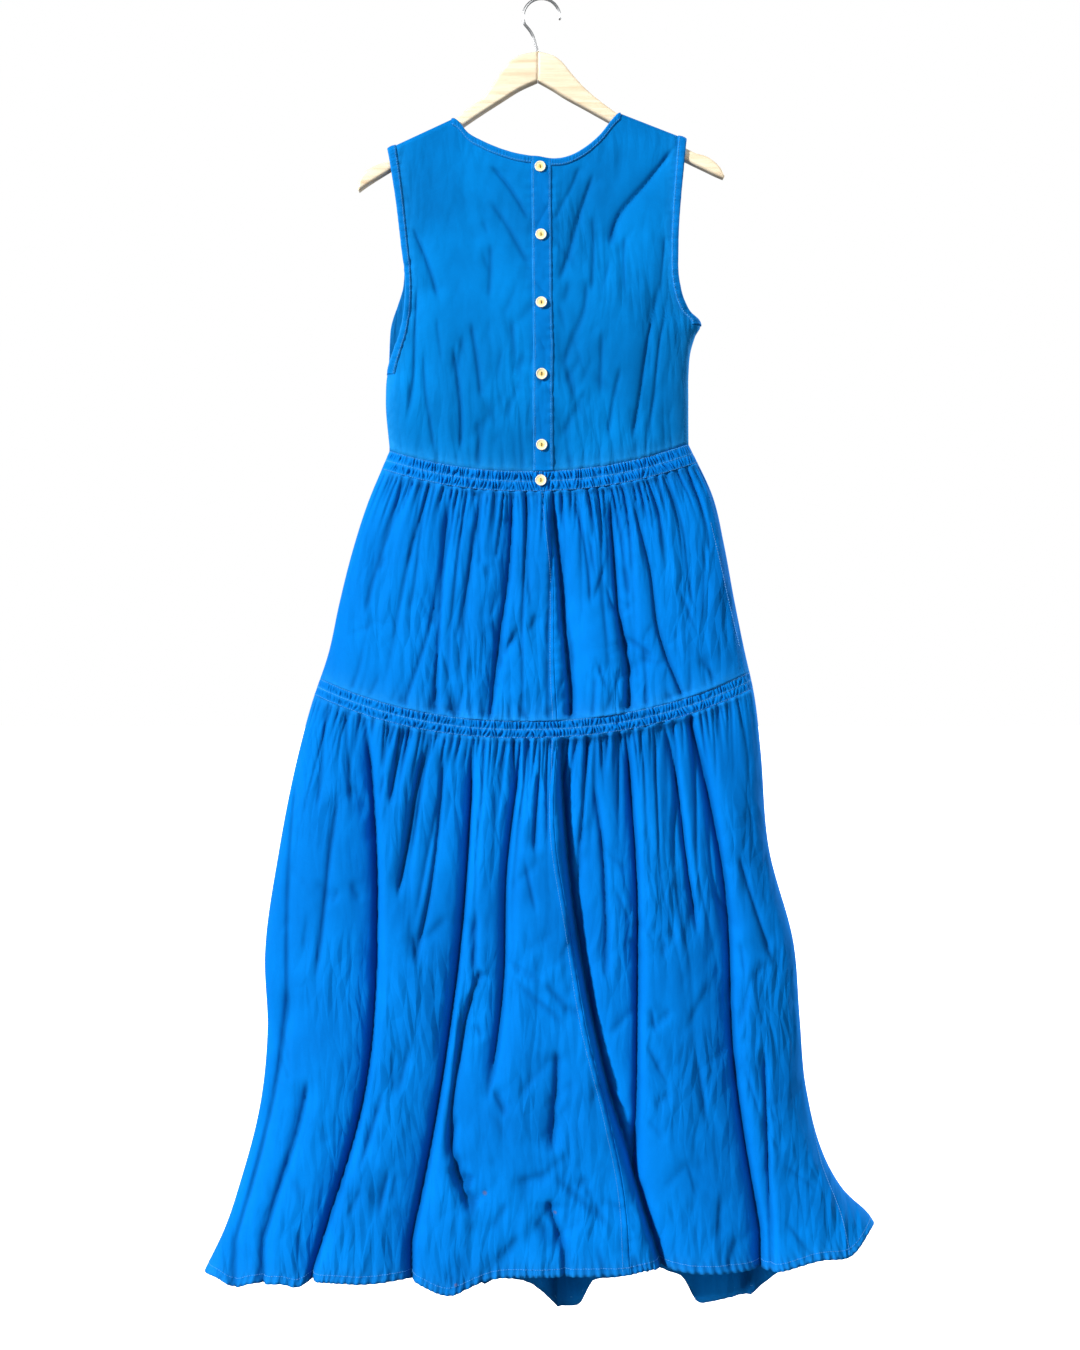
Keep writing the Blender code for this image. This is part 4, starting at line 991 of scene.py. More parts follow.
def tier_grid(tier, part):
    columns, rows = PANEL_GRIDS[f"{tier}_{part}"]
    side = FRONT if part == "front" else BACK
    facts = TIERS[tier]
    down = np.linspace(0, 1, rows)[:, None]
    height = facts["top"] + (facts["bottom"] - facts["top"]) * down
    share = panel_shares(part, height, columns)
    wear = TOP_WEAR[0] * np.exp(-(height - facts["top"]) / TOP_WEAR[1])
    wear = wear + BOTTOM_WEAR[0] * np.exp(-(facts["bottom"] - height) / BOTTOM_WEAR[1])
    return tier_surface(tier, side, share, height), np.clip(wear + 0 * share, 0, 1), side


for tier, band in (("upper", "waist_band_"), ("lower", "lower_band_")):
    for part in PARTS:
        points, edge, side = tier_grid(tier, part)
        name = f"cloth_{tier}_tier_{part}"
        made_of = SPECKED_COTTON if name == "cloth_lower_tier_back_left" else COTTON
        piece = cloth(name, points, side, made_of, edge, nodes=(f"{tier}_tier_{part}",))
        declare(piece, points)

# %% [markdown]
# The waist and the lower band are shirred: three rows of elastic stitches pull the cloth
# into short upright puckers. Each pucker is a rounded rib between two stitch rows, and
# the ribs above and below a row are out of step, which gives the small diamond pattern.

# %% Surface of a shirred band
BANDS = {"waist": (WAIST_TOP, WAIST_BOTTOM), "lower": (LOWER_BAND_TOP, LOWER_BAND_BOTTOM)}
# ribs in the back and in the front
BAND_RIBS = {"waist": (92, 84), "lower": (124, 112)}
BAND_SEEDS, LOWER_BAND_INSET = {"waist": 301, "lower": 306}, 2.0
SLIPS, SLANT = ((4.6, 5, 0), (3.0, 2, 3)), 6.4
RIB_POWER, PUFF_POWER = 0.8, 1.3


def band_surface(band, side, share, height):
    top, bottom = BANDS[band]
    hang = "back" if side < 0 else "front"
    x, drop, closing = ring_place(hang, share, height)
    down = (height - top) / (bottom - top)
    ribs = BAND_RIBS[band][0 if side < 0 else 1]
    seed = BAND_SEEDS[band] + side
    phase = math.pi * ribs * uneven(share)
    row = np.where(down < 0.5, 0.3, 9.7)
    slip = 0
    for reach, wide, shift in SLIPS:
        slip = slip + reach * hills(share * ribs / wide, row + shift, seed)
    slant = SLANT * hills(share * ribs / 2.6, row + 7, seed) * (4 * np.abs(down - 0.5) - 1)
    rib = np.cos(phase + slip + slant + row)
    rib = np.sign(rib) * np.abs(rib) ** RIB_POWER
    puff = np.abs(np.sin(2 * math.pi * down)) ** PUFF_POWER
    size = 1.0 + 0.9 * hills(share * ribs / 1.7, row + 11, seed)
    ruck = hills(share * ribs * 1.1 + 3, down * 5, seed + 40) * (0.4 + 0.6 * puff)
    height_out = puff * (0.9 + 1.5 * size * rib) + 1.2 * ruck
    stitched = 0.35 * (1 - puff) * np.cos(phase + slip)
    depth = ring(hang + "_depth", height) - (LOWER_BAND_INSET if band == "lower" else 0.0)
    y = side * closing * (depth + height_out + stitched)
    drop = drop + 0.6 * np.sin(phase * 0.5 + slip) * puff
    return np.stack([x, y, -drop], axis=-1) * MM


print("ribs of both bands:", sum(sum(ribs) for ribs in BAND_RIBS.values()))

# %% Shirred bands
BAND_ROWS, BAND_COLUMNS, BAND_FRONT_COLUMNS = 15, 340, 400
for band, above in (("waist", "bodice_"), ("lower", "upper_tier_")):
    for part in PARTS:
        side = FRONT if part == "front" else BACK
        top, bottom = BANDS[band]
        height = np.linspace(top, bottom, BAND_ROWS)[:, None]
        columns = BAND_FRONT_COLUMNS if part == "front" else BAND_COLUMNS
        share = panel_shares(part, height, columns)
        points = band_surface(band, side, share, height)
        down = (height - top) / (bottom - top)
        edge = np.clip(np.cos(2 * math.pi * down) ** 8 * 0.7 + 0 * share, 0, 1)
        piece = cloth(f"shirred_{band}_band_{part}", points, side, COTTON, edge,
                      nodes=(f"{band}_band_{part}",))
        declare(piece, points)

# %% [markdown]
# The bodice hangs from the hanger's arms. Seen from behind, its outline is the armhole
# and side edges; its top edge runs from shoulder tip to neck point, along the neckline
# and out again. A patch fills in between those edges, and its depth grows from the
# thickness of the hanger at the shoulders to the fullness of the chest.

# %% Sizes of the bodice, in millimetres
EDGE_COLUMNS = ("height", "back_left", "front_left", "right")
BODICE_EDGES = (
    (168, -186.4, -186.4, 173.4), (204, -180.0, -180.0, 169.8), (240, -174.2, -174.2, 166.2),
    (300, -166.8, -167.2, 162.6), (342, -162.0, -168.0, 163.8), (364, -162.4, -175.0, 169.8),
    (378, -163.6, -180.0, 178.2), (388, -165.0, -182.4, 190.0), (404, -168.4, -183.6, 184.0),
    (422, -175.0, -184.0, 178.6), (449, -184.2, -184.2, 176.0), (480, -186.4, -186.4, 175.8),
    (538, -182.0, -182.0, 176.0),
)
LEFT_TIP_HEIGHT, RIGHT_TIP_HEIGHT = 180.0, 168.0
LEFT_UNDERARM, RIGHT_UNDERARM = 449.0, 388.0
ARMHOLE_FLARE, ARMHOLE_RUN, SWERVE_POWER = 50.0, 90.0, 5
TOP_EDGE = (
    (-184.6, 180.0, 180.0), (-107.4, 144.4, 144.4), (-102.0, 147.0, 150.0),
    (-88.0, 163.0, 180.0), (-72.0, 172.6, 208.0), (-46.0, 183.8, 238.0),
    (-21.0, 190.6, 254.0), (-3.0, 192.4, 258.0), (13.0, 194.6, 255.0),
    (34.0, 191.0, 242.0), (52.0, 181.0, 223.0), (70.0, 165.4, 194.0),
    (88.5, 142.6, 145.6), (94.2, 137.4, 137.4), (173.4, 168.0, 168.0),
)
NECK_LEFT_X, NECK_RIGHT_X = -107.4, 94.2
CENTRE_SHARE, PLACKET_LEFT, PLACKET_RIGHT = 0.028, -0.038, 0.094
SHOULDER_LINE = ((-184.6, 180.0), (-107.4, 144.4), (-5.0, 70.0), (94.2, 137.4), (173.4, 168.0))
SHOULDER_ARCH = 8.2
BODICE_DEPTHS = ((130, 12.2, 12.2), (165, 12.6, 12.6), (200, 14.5, 14.5), (250, 19, 20),
                 (320, 27, 29), (400, 33, 36), (480, 34, 37), (538, 30, 32), (580, 30, 32))
print("rows of the bodice's edges:", len(BODICE_EDGES))

# %% Folds of the bodice
BODICE_BACK_FOLDS = (
    (205, 270, -58, -40, -26, -15, 4.0, 7, 0, 0),
    (248, 325, -60, -42, -28, -14, 3.0, 8, 0, 0),
    (280, 365, -152, -140, -130, -122, 5.0, 11, 0, 0),
    (300, 365, -60, -60, -61, -62, 2.0, 8, 0, 0),
    (205, 275, 45, 36, 24, 13, 2.5, 6, 0, 0),
    (215, 350, 61, 46, 34, 19, 4.5, 7, 0, 0),
    (180, 305, 158, 126, 92, 80, 6.5, 10, 0, 0),
    (265, 360, 61, 62, 61, 59, 2.5, 7, 0, 0),
    (290, 360, 99, 98, 98, 99, 2.0, 6, 0, 0),
    (290, 360, 147, 145, 143, 140, 2.5, 7, 0, 0),
    (350, 510, -148, -150, -152, -160, 4.5, 9, 0, 0),
    (430, 550, -140, -138, -132, -126, 3.0, 7, 0, 0),
    (390, 440, -124, -122, -120, -117, 2.0, 5, 0, 0),
    (425, 550, -104, -98, -95, -96, 5.0, 6, 0, 0),
    (395, 485, -83, -78, -74, -71, 4.0, 8, 0, 0),
    (510, 568, -75, -74, -74, -74, 2.5, 5, 0, 0),
    (465, 510, -25, -32, -38, -43, 2.0, 7, 0, 0),
    (345, 450, 54, 50, 36, 24, 3.0, 9, 0, 0),
    (476, 530, 52, 42, 32, 23, 2.5, 7, 0, 0),
    (406, 483, 72, 71, 70, 70, 2.0, 6, 0, 0),
    (448, 530, 94, 87, 82, 78, 3.5, 7, 0, 0),
    (350, 540, 139, 126, 117, 106, 5.5, 8, 0, 0),
    (363, 530, 150, 140, 134, 126, 4.0, 6, 0, 0),
    (380, 425, 160, 160, 160, 160, 2.5, 5, 0, 0),
)
BODICE_FRONT_FOLDS = (
    (280, 420, -140, -128, -112, -92, 6, 12, 0, 0),
    (280, 420, 140, 128, 112, 92, 6, 12, 0, 0),
    (300, 400, -20, -16, -12, -10, 3, 10, 0, 0),
    (400, 540, -120, -118, -112, -108, 4, 9, 0, 0),
    (420, 540, -60, -62, -64, -66, 4, 8, 0, 0),
    (430, 545, 4, 6, 8, 10, 3, 8, 0, 0),
    (420, 540, 62, 64, 66, 68, 4, 8, 0, 0),
    (400, 540, 122, 120, 114, 110, 4, 9, 0, 0),
)
BODICE_GATHERS = gather_rows(61, 30, 70)
BODICE_CREASES = small_creases(404, 60, -170, 165, 190, 560, BODICE_EASY_SIDE)
print("folds of the bodice:", len(BODICE_BACK_FOLDS) + len(BODICE_FRONT_FOLDS))

# %% Top edge of the bodice


def top_edge(place, x):
    xs, drops = column(TOP_EDGE, 0), column(TOP_EDGE, place)
    neck = (xs >= NECK_LEFT_X) & (xs <= NECK_RIGHT_X)
    inside = smooth(xs[neck], drops[neck], x)
    return np.where((x > NECK_LEFT_X) & (x < NECK_RIGHT_X), inside, np.interp(x, xs, drops))


def top_share(x):
    """Share of the shoulder width at which x lies on the top edge."""
    first = smooth(column(BODICE_EDGES, 0), column(BODICE_EDGES, 1), np.array(LEFT_TIP_HEIGHT))
    last = smooth(column(BODICE_EDGES, 0), column(BODICE_EDGES, 3), np.array(RIGHT_TIP_HEIGHT))
    return float(2 * (x - first) / (last - first) - 1)


NECK_LEFT_SHARE, NECK_RIGHT_SHARE = top_share(NECK_LEFT_X), top_share(NECK_RIGHT_X)
print("neck point shares:", round(NECK_LEFT_SHARE, 4), round(NECK_RIGHT_SHARE, 4))


# %% Surface of the bodice
TROUGH, CREASING, CRUMPLING, GATHERING = 1.25, 0.6, 0.30, 0.28
# x of the two rows of stitches beside the placket
PLACKET_ROWS = (-13.5, 12.5)


def edge_points(side, t):
    """Both side edges: x and drop at each height, the ends, and the swerve between."""
    heights = column(BODICE_EDGES, 0)
    left = "back_left" if side < 0 else "front_left"
    found = []
    for name, tip, end in ((left, LEFT_TIP_HEIGHT, WAIST_TOP + RIGHT_SIDE_RISE),
                           ("right", RIGHT_TIP_HEIGHT, WAIST_TOP - RIGHT_SIDE_RISE)):
        line = column(BODICE_EDGES, EDGE_COLUMNS.index(name))
        drop = tip + (end - tip) * t
        x = smooth(heights, line, drop)
        first, last = (smooth(heights, line, np.array(at)) for at in (tip, end))
        found.append((x, drop, first, x - (first + (last - first) * t)))
    return found


def bodice_place(side, w, t):
    """The x and the drop of the patch, with the drops of its edges and its half width."""
    hang = "back" if side < 0 else "front"
    (left_x, left_drop, left_first, left_swerve), \
        (right_x, right_drop, right_first, right_swerve) = edge_points(side, t)
    u = (w + 1) / 2
    top_x = left_first + (right_first - left_first) * u
    top_drop = top_edge(1 if side < 0 else 2, top_x)
    left, right = ring("left", WAIST_TOP), ring("right", WAIST_TOP)
    low_x = (left + right) / 2 + (right - left) / 2 * w
    low_drop = WAIST_TOP - RIGHT_SIDE_RISE * w
    low_drop = low_drop + ring(hang + "_sag", WAIST_TOP) * (1 - np.abs(w) ** SAG_POWER)
    x = (1 - t) * top_x + t * low_x + (1 - u) ** SWERVE_POWER * left_swerve
    x = x + u**SWERVE_POWER * right_swerve
    return x, (1 - t) * top_drop + t * low_drop, left_drop, right_drop, (right_x - left_x) / 2


def bodice_closing(w, left_drop, right_drop, half):
    """Share of the full depth across the bodice, wider open beside the armholes."""
    reach = []
    for underarm, drop in ((LEFT_UNDERARM, left_drop), (RIGHT_UNDERARM, right_drop)):
        flare = ARMHOLE_FLARE * fade((underarm - drop) / ARMHOLE_RUN) ** 0.6
        reach.append(half / (half + flare))
    reach = np.where(w < 0, *reach)
    return (1 - (np.abs(w) * reach) ** ROUNDNESS).clip(0) ** (1 / ROUNDNESS)


half_width = bodice_place(BACK, np.array(0.0), np.array(0.5))[-1]
print("half width of the bodice at mid height, mm:", round(float(half_width), 1))

# %% Points of the bodice
def bodice_surface(side, w, t):
    """Points of the bodice. w runs from the left edge (-1) to the right, t downward."""
    x, drop, left_drop, right_drop, half = bodice_place(side, w, t)
    closing = bodice_closing(w, left_drop, right_drop, half)
    line = np.interp(x, column(SHOULDER_LINE, 0), column(SHOULDER_LINE, 1))
    rise = np.clip((drop - line) / SHOULDER_ARCH, 0, 1)
    arch = np.sqrt(1 - (1 - rise) ** 2)
    depth = smooth(column(BODICE_DEPTHS, 0), column(BODICE_DEPTHS, 1 if side < 0 else 2), drop)
    trough, _ = fold_shape(BODICE_BACK_FOLDS if side < 0 else BODICE_FRONT_FOLDS, x, drop)
    above_waist = (1 - t) * (WAIST_TOP - TOP_EDGE[0][1])
    waist_pinch = pinch(above_waist)
    trough = TROUGH * trough * fade((drop - line) / 40) * waist_pinch
    wave = 1.1 * soft_noise(w, drop, 41 + side, 9, 70) * fade((drop - line - 10) / 60)
    wave = wave + CRUMPLING * crumple(x, drop, 171 + side) * fade((drop - line - 6) / 50)
    wave = wave - crease_depth(BODICE_CREASES, x, drop) * CREASING * waist_pinch
    gathered = -GATHERING * gather_depth(BODICE_GATHERS, w, above_waist) * waist_pinch
    edge_away = (1 - np.abs(w)) * half
    beside = np.where(w < 0, left_drop < LEFT_UNDERARM, right_drop < RIGHT_UNDERARM)
    drawn = 0.6 * np.exp(-(((edge_away - 9) / 7) ** 2))
    drawn = drawn * np.sin(drop / 1.9 + 2 * np.sin(drop / 11))
    wave = wave + gathered + drawn * beside
    if side < 0:
        near = np.minimum(*(np.abs(x - row) for row in PLACKET_ROWS))
        pucker = 0.55 * np.exp(-((near / 6) ** 2))
        wave = wave + pucker * np.sin(drop / 2.3 + 2 * np.sin(drop / 13))
    y = side * arch * closing * (depth - trough + wave * fade(rise))
    return np.stack([x, y, -drop], axis=-1) * MM


middle = bodice_surface(BACK, np.array([0.0]), np.array([0.5]))[0]
print("middle of the back, mm:", (middle / MM).round(1))

# %% Bodice panels
EVEN_STEPS, EDGE_PULL = 2001, 1.6
BODICE_ROWS, BODICE_FRONT_ROWS = 112, 84
# length and half width of a panel, and how far its worn edges reach into it, in mm
PANEL_LENGTH, PANEL_HALF, WAIST_WEAR, SIDE_WEAR = 365, 180, 7, 8


def spaced(start, end, count):
    """Shares that sit closer together at the outer edges."""
    even = np.linspace(-1, 1, EVEN_STEPS)
    eased = np.sign(even) * (1 - (1 - np.abs(even)) ** EDGE_PULL)
    first, last = np.interp((start, end), eased, even)
    return np.interp(np.linspace(first, last, count), even, eased)


def rows_from_shoulder(count):
    s = np.linspace(0, 1, count)
    return (0.12 * s + 0.88 * s**1.6)[:, None]


BODICE_PARTS = {"back_left": (BACK, -1.0, CENTRE_SHARE, 130),
                "back_right": (BACK, CENTRE_SHARE, 1.0, 130), "front": (FRONT, -1.0, 1.0, 110)}
for part, (side, start, end, columns) in BODICE_PARTS.items():
    w = spaced(start, end, columns)[None, :]
    t = rows_from_shoulder(BODICE_ROWS if side < 0 else BODICE_FRONT_ROWS)
    points = bodice_surface(side, w, t)
    edge = np.exp(-(1 - t) * PANEL_LENGTH / WAIST_WEAR)
    edge = edge + np.exp(-(1 - np.abs(w)) * PANEL_HALF / SIDE_WEAR) + 0 * t
    piece = cloth(f"cloth_bodice_{part}", points, side, SMOOTH_COTTON, np.clip(edge, 0, 1),
                  nodes=(f"bodice_{part}",))
    declare(piece, points)

# %% [markdown]
# The neck and the armholes are finished with a narrow bias strip, folded over the raw
# edge and stitched down. Pulled round a curve, such a strip puckers a little. Each strip
# uses the bodice's own points, moved outward by its own thickness, so that it always lies
# on the cloth.

# %% A bound edge
BIND_LIFT, BIND_ROLL, BIND_PUCKER, BIND_THICK = 0.85, 0.55, 0.28, 0.9


def lifted(points, side, lift):
    """Moves a grid of points outward along its own normals."""
    normal = np.cross(np.gradient(points, axis=1), np.gradient(points, axis=0))
    normal = normal / np.maximum(np.linalg.norm(normal, axis=-1, keepdims=True), 1e-12)
    if (normal[..., 1] * side).sum() < 0:
        normal = -normal
    return points + normal * lift[..., None] * MM, normal


def strip_profile(across):
    """Height of a folded strip over its width: rolled edge, flat middle, stitched edge."""
    return 1.1 * np.sin(np.clip(across * 1.15, 0, 1) * math.pi) ** 0.5


def binding(name, side, w, t, across, nodes, along):
    """A strip over an edge. Along says where its small puckers come."""
    lift = BIND_LIFT + BIND_ROLL * strip_profile(across)
    lift = lift + BIND_PUCKER * np.sin(along) * (1 - np.abs(2 * across - 1))
    points, _ = lifted(bodice_surface(side, w, t), side, lift)
    edge = np.clip(np.exp(-((1 - across) / 0.15)) + np.exp(-across / 0.12), 0, 1)
    piece = cloth(name, points, side, BINDING, edge, BIND_THICK, nodes)
    declare(piece, points, strip=True)


print("a binding stands out by, mm:", BIND_LIFT)

# %% Bindings of the neck and the armholes
NECK_WIDTH_SHARE, ARMHOLE_WIDTH_SHARE, BIND_POINTS = 0.0235, 0.055, 7
NECK_RIPPLES, ARMHOLE_RIPPLES = (430, 5, 40), (620, 4, 50)
NECK_PARTS = (("back_left", BACK, NECK_LEFT_SHARE, PLACKET_LEFT),
              ("back_right", BACK, PLACKET_RIGHT, NECK_RIGHT_SHARE),
              ("front", FRONT, NECK_LEFT_SHARE, NECK_RIGHT_SHARE))
# side of the bodice, and how far down its edge the armhole reaches
ARMHOLES = (("left", -1, 0.747), ("right", 1, 0.61))
for part, side, start, end in NECK_PARTS:
    w = np.linspace(start, end, 140 if side < 0 else 230)[None, :]
    across = np.linspace(0, 1, BIND_POINTS)[:, None]
    t = NECK_WIDTH_SHARE * across + 0 * w
    binding(f"bound_neck_{part}", side, w + 0 * across, t, across + 0 * w,
            (f"neck_binding_{part}",), ripples(w, *NECK_RIPPLES) + 0 * across)

for hand, sign, low in ARMHOLES:
    for hang, side in (("back", BACK), ("front", FRONT)):
        t = np.linspace(0, 1, 220)[:, None] ** 1.15 * low
        across = np.linspace(0, 1, BIND_POINTS)[None, :]
        w = sign * (1 - ARMHOLE_WIDTH_SHARE * across)
        if sign > 0:
            across, w = across[:, ::-1], w[:, ::-1]
        binding(f"bound_armhole_{hand}_{hang}", side, w + 0 * t, t + 0 * w, across + 0 * t,
                (f"armhole_binding_{hand}_{hang}",), ripples(t, *ARMHOLE_RIPPLES) + 0 * w)

# %% [markdown]
# The placket is a double fold of cloth down the centre back, stitched along both edges,
# that carries the buttonholes. It stands a little higher than the bodice, and a little
# higher again in from its two edges.

# %% Placket
across = np.linspace(0, 1, 21)[None, :]
t = np.linspace(0, 1, 230)[:, None]
w = PLACKET_LEFT + (PLACKET_RIGHT - PLACKET_LEFT) * across + 0 * t
edge_near = np.minimum(across, 1 - across)
# share of the width at which the stitches lie, the strip's height in mm, and its ripples
STITCHED_AT, PLACKET_LIFT, PLACKET_RIPPLES = 0.11, 0.9, (300, 2, 37)
step_up = 0.25 * np.clip(edge_near / 0.05, 0, 1)
groove = 0.25 * np.exp(-(((edge_near - STITCHED_AT) / 0.035) ** 2))
near_stitches = np.exp(-(((edge_near - STITCHED_AT) / 0.12) ** 2))
lift = PLACKET_LIFT + step_up - groove
lift = lift + 0.18 * np.sin(ripples(t, *PLACKET_RIPPLES)) * near_stitches
lift = lift + 0.25 * np.exp(-(((edge_near - 0.5) / 0.3) ** 2)) * np.sin(34 * t + 1)
points, _ = lifted(bodice_surface(BACK, w, t + 0 * across), BACK, lift + 0 * t)
edge = np.clip(np.exp(-edge_near / 0.06) + 0 * t, 0, 1)
placket = cloth("buttoned_placket", points, BACK, BINDING, edge, BIND_THICK,
                ("button_placket",))
declare(placket, points,
        strip=True)


# %% [markdown]
# Topstitching shows as a row of short, slightly paler dashes lying on the cloth. Each
# stitch is a small spindle that dips into the cloth at both ends. They are laid out along
# a line by its real length, so that the pitch is the same on every seam, and all the
# stitches of one area are joined into one mesh.

# %% Thread
# share of the length, share of the radius, and rise in mm of each ring of a stitch
STITCH_RINGS = ((0, 0.35, -0.18), (0.25, 1.0, 0.12), (0.75, 1.0, 0.12), (1, 0.35, -0.18))
STITCH_SIDES = 4
STITCH_PITCH, STITCH_LENGTH, STITCH_RADIUS = 3.1, 2.4, 0.30


def thread_material(name, face, dark, light, twist_scale, relief=0.0):
    made, tree, shader = new_material(name, face)
    twist = node(tree, "ShaderNodeTexWave", {"Vector": object_place(tree), "Scale": twist_scale},
                 bands_direction="DIAGONAL").outputs["Fac"]
    tree.links.new(ramp(tree, twist, dark, light), shader.inputs["Base Color"])
    if relief:
        tree.links.new(bump(tree, twist, relief, 0.0001), shader.inputs["Normal"])
    return made


THREAD = thread_material("topstitch_thread", {"Roughness": 0.6, "Sheen Weight": 0.2},
                         (0.02, 0.26, 0.66, 1), (0.08, 0.40, 0.80, 1), 900.0, relief=0.4)
BROWN_THREAD = thread_material("button_thread", {"Roughness": 0.7},
                               (0.10, 0.045, 0.012, 1), (0.30, 0.15, 0.05, 1), 1400.0)
print("threads:", THREAD.name, BROWN_THREAD.name)

# %% Line on a surface
LINE_STEP = 1e-3


def seam_line(surface, first, second, side, lift):
    """Points along a line on a surface, lifted off it by mm, and the outward normals."""
    here = surface(first, second)
    along_first = surface(first + LINE_STEP, second) - here
    along_second = surface(first, second + LINE_STEP * 10) - here
    normal = np.cross(along_first, along_second)
    normal = normal / np.maximum(np.linalg.norm(normal, axis=-1, keepdims=True), 1e-15)
    normal = normal * np.where(normal[:, 1] * side < 0, -1.0, 1.0)[:, None]
    return here + normal * lift * MM, normal


def on_bodice(side):
    return lambda w, t: bodice_surface(side, w, t)


def on_band(band, side):
    return lambda share, height: band_surface(band, side, share, height)


def on_tier(tier, side):
    return lambda share, height: tier_surface(tier, side, share, height)


print("lines run on the bodice, the bands and the tiers")

# %% A row of stitches
def stitch_faces():
    """Quads of one stitch: its four sides, ring by ring, and its two ends."""
    n = STITCH_SIDES
    faces = []
    for r in range(len(STITCH_RINGS) - 1):
        for k in range(n):
            m = (k + 1) % n
            faces.append((n * r + k, n * r + m, n * r + n + m, n * r + n + k))
    return np.array(faces + [(3, 2, 1, 0), (12, 13, 14, 15)])


def stitches(points, normal, pitch=STITCH_PITCH, length=STITCH_LENGTH, radius=STITCH_RADIUS):
    """Vertices and faces of a row of stitches."""
    step = np.linalg.norm(np.diff(points, axis=0), axis=1)
    run = np.concatenate([[0], np.cumsum(step)]) / MM
    starts = np.arange(0.4, run[-1] - length, pitch)
    if len(starts) == 0:
        return np.zeros((0, 3)), np.zeros((0, 4), dtype=int)

    def at(values, where):
        return np.stack([np.interp(where, run, values[:, k]) for k in range(3)], axis=1)

    way = at(points, starts + length) - at(points, starts)
    way = way / np.maximum(np.linalg.norm(way, axis=1, keepdims=True), 1e-12)
    rings = []
    for share, thick, rise in STITCH_RINGS:
        out = at(normal, starts + share * length)
        centre = at(points, starts + share * length) + out * rise * MM
        across = np.cross(way, out)
        for turn in range(STITCH_SIDES):
            angle = math.pi * (turn + 0.5) / 2
            offset = out * math.sin(angle) + across * math.cos(angle)
            rings.append(centre + offset * radius * thick * MM)
    offsets = np.arange(len(starts))[:, None, None] * len(rings)
    return np.stack(rings, axis=1).reshape(-1, 3), (stitch_faces()[None] + offsets).reshape(-1, 4)


print("faces of one stitch:", len(stitch_faces()))

# %% Rows joined into one mesh
def outward(mesh, apart=None):
    """Joins points closer than a distance and turns all faces outward."""
    bm = bmesh.new()
    bm.from_mesh(mesh)
    if apart:
        bmesh.ops.remove_doubles(bm, verts=bm.verts, dist=apart)
    bmesh.ops.recalc_face_normals(bm, faces=bm.faces)
    bm.to_mesh(mesh)
    bm.free()


def smooth_faces(mesh):
    mesh.polygons.foreach_set("use_smooth", np.ones(len(mesh.polygons), dtype=bool))


def stitched(name, rows, material=THREAD, slot="cotton", **sizes):
    """One joined mesh from several rows of stitches."""
    verts, faces, base = [], [], 0
    for points, normal in rows:
        v, f = stitches(points, normal, **sizes)
        verts.append(v)
        faces.append(f + base)
        base += len(v)
    mesh = bpy.data.meshes.new(name)
    mesh.from_pydata(np.concatenate(verts).tolist(), [], np.concatenate(faces).tolist())
    smooth_faces(mesh)
    outward(mesh)
    piece = bpy.data.objects.new(name, mesh)
    collection.objects.link(piece)
    mesh.materials.append(material)
    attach(piece, "root")
    print(name, "stitches:", base // (STITCH_SIDES * len(STITCH_RINGS)))


print("stitches are joined piece by piece below")

# %% Topstitching of the bodice
# where the stitches lie across a binding and across the placket
BIND_STITCH, PLACKET_STITCHES = 0.84, (0.10, 0.90)
BIND_STITCH_LIFT, PLACKET_STITCH_LIFT, CLOTH_STITCH_LIFT = BIND_LIFT + 0.85, 1.4, 0.45
fine = np.linspace(0, 1, 900)
rows = []
for _, side, start, end in NECK_PARTS:
    w = start + (end - start) * fine
    t = np.full_like(w, NECK_WIDTH_SHARE * BIND_STITCH)
    rows.append(seam_line(on_bodice(side), w, t, side, BIND_STITCH_LIFT))
for _, sign, low in ARMHOLES:
    for side in (BACK, FRONT):
        t = 0.004 + (low - 0.006) * fine
        w = np.full_like(t, sign * (1 - ARMHOLE_WIDTH_SHARE * BIND_STITCH))
        rows.append(seam_line(on_bodice(side), w, t, side, BIND_STITCH_LIFT))
for share in PLACKET_STITCHES:
    w = np.full_like(fine, PLACKET_LEFT + (PLACKET_RIGHT - PLACKET_LEFT) * share)
    rows.append(seam_line(on_bodice(BACK), w, 0.004 + 0.992 * fine, BACK, PLACKET_STITCH_LIFT))
stitched("topstitch_bodice", rows)

# %% Elastic stitches of the bands
ELASTIC_ROWS, ELASTIC_POINTS = (0.03, 0.5, 0.97), 4000
rows = []
for band, (top, bottom) in BANDS.items():
    for side in (BACK, FRONT):
        for down in ELASTIC_ROWS:
            height = np.full(ELASTIC_POINTS, top + (bottom - top) * down)
            share = np.linspace(-0.995, 0.995, ELASTIC_POINTS)
            rows.append(seam_line(on_band(band, side), share, height, side, CLOTH_STITCH_LIFT))
stitched("elastic_stitches", rows)

# %% [markdown]
# On the skirt the stitches follow the centre seam and the hem. Two short slanting rows
# near the right side, one on each tier, are read from the photo.

# %% Topstitching of the skirt
HEM_POINTS = 6000
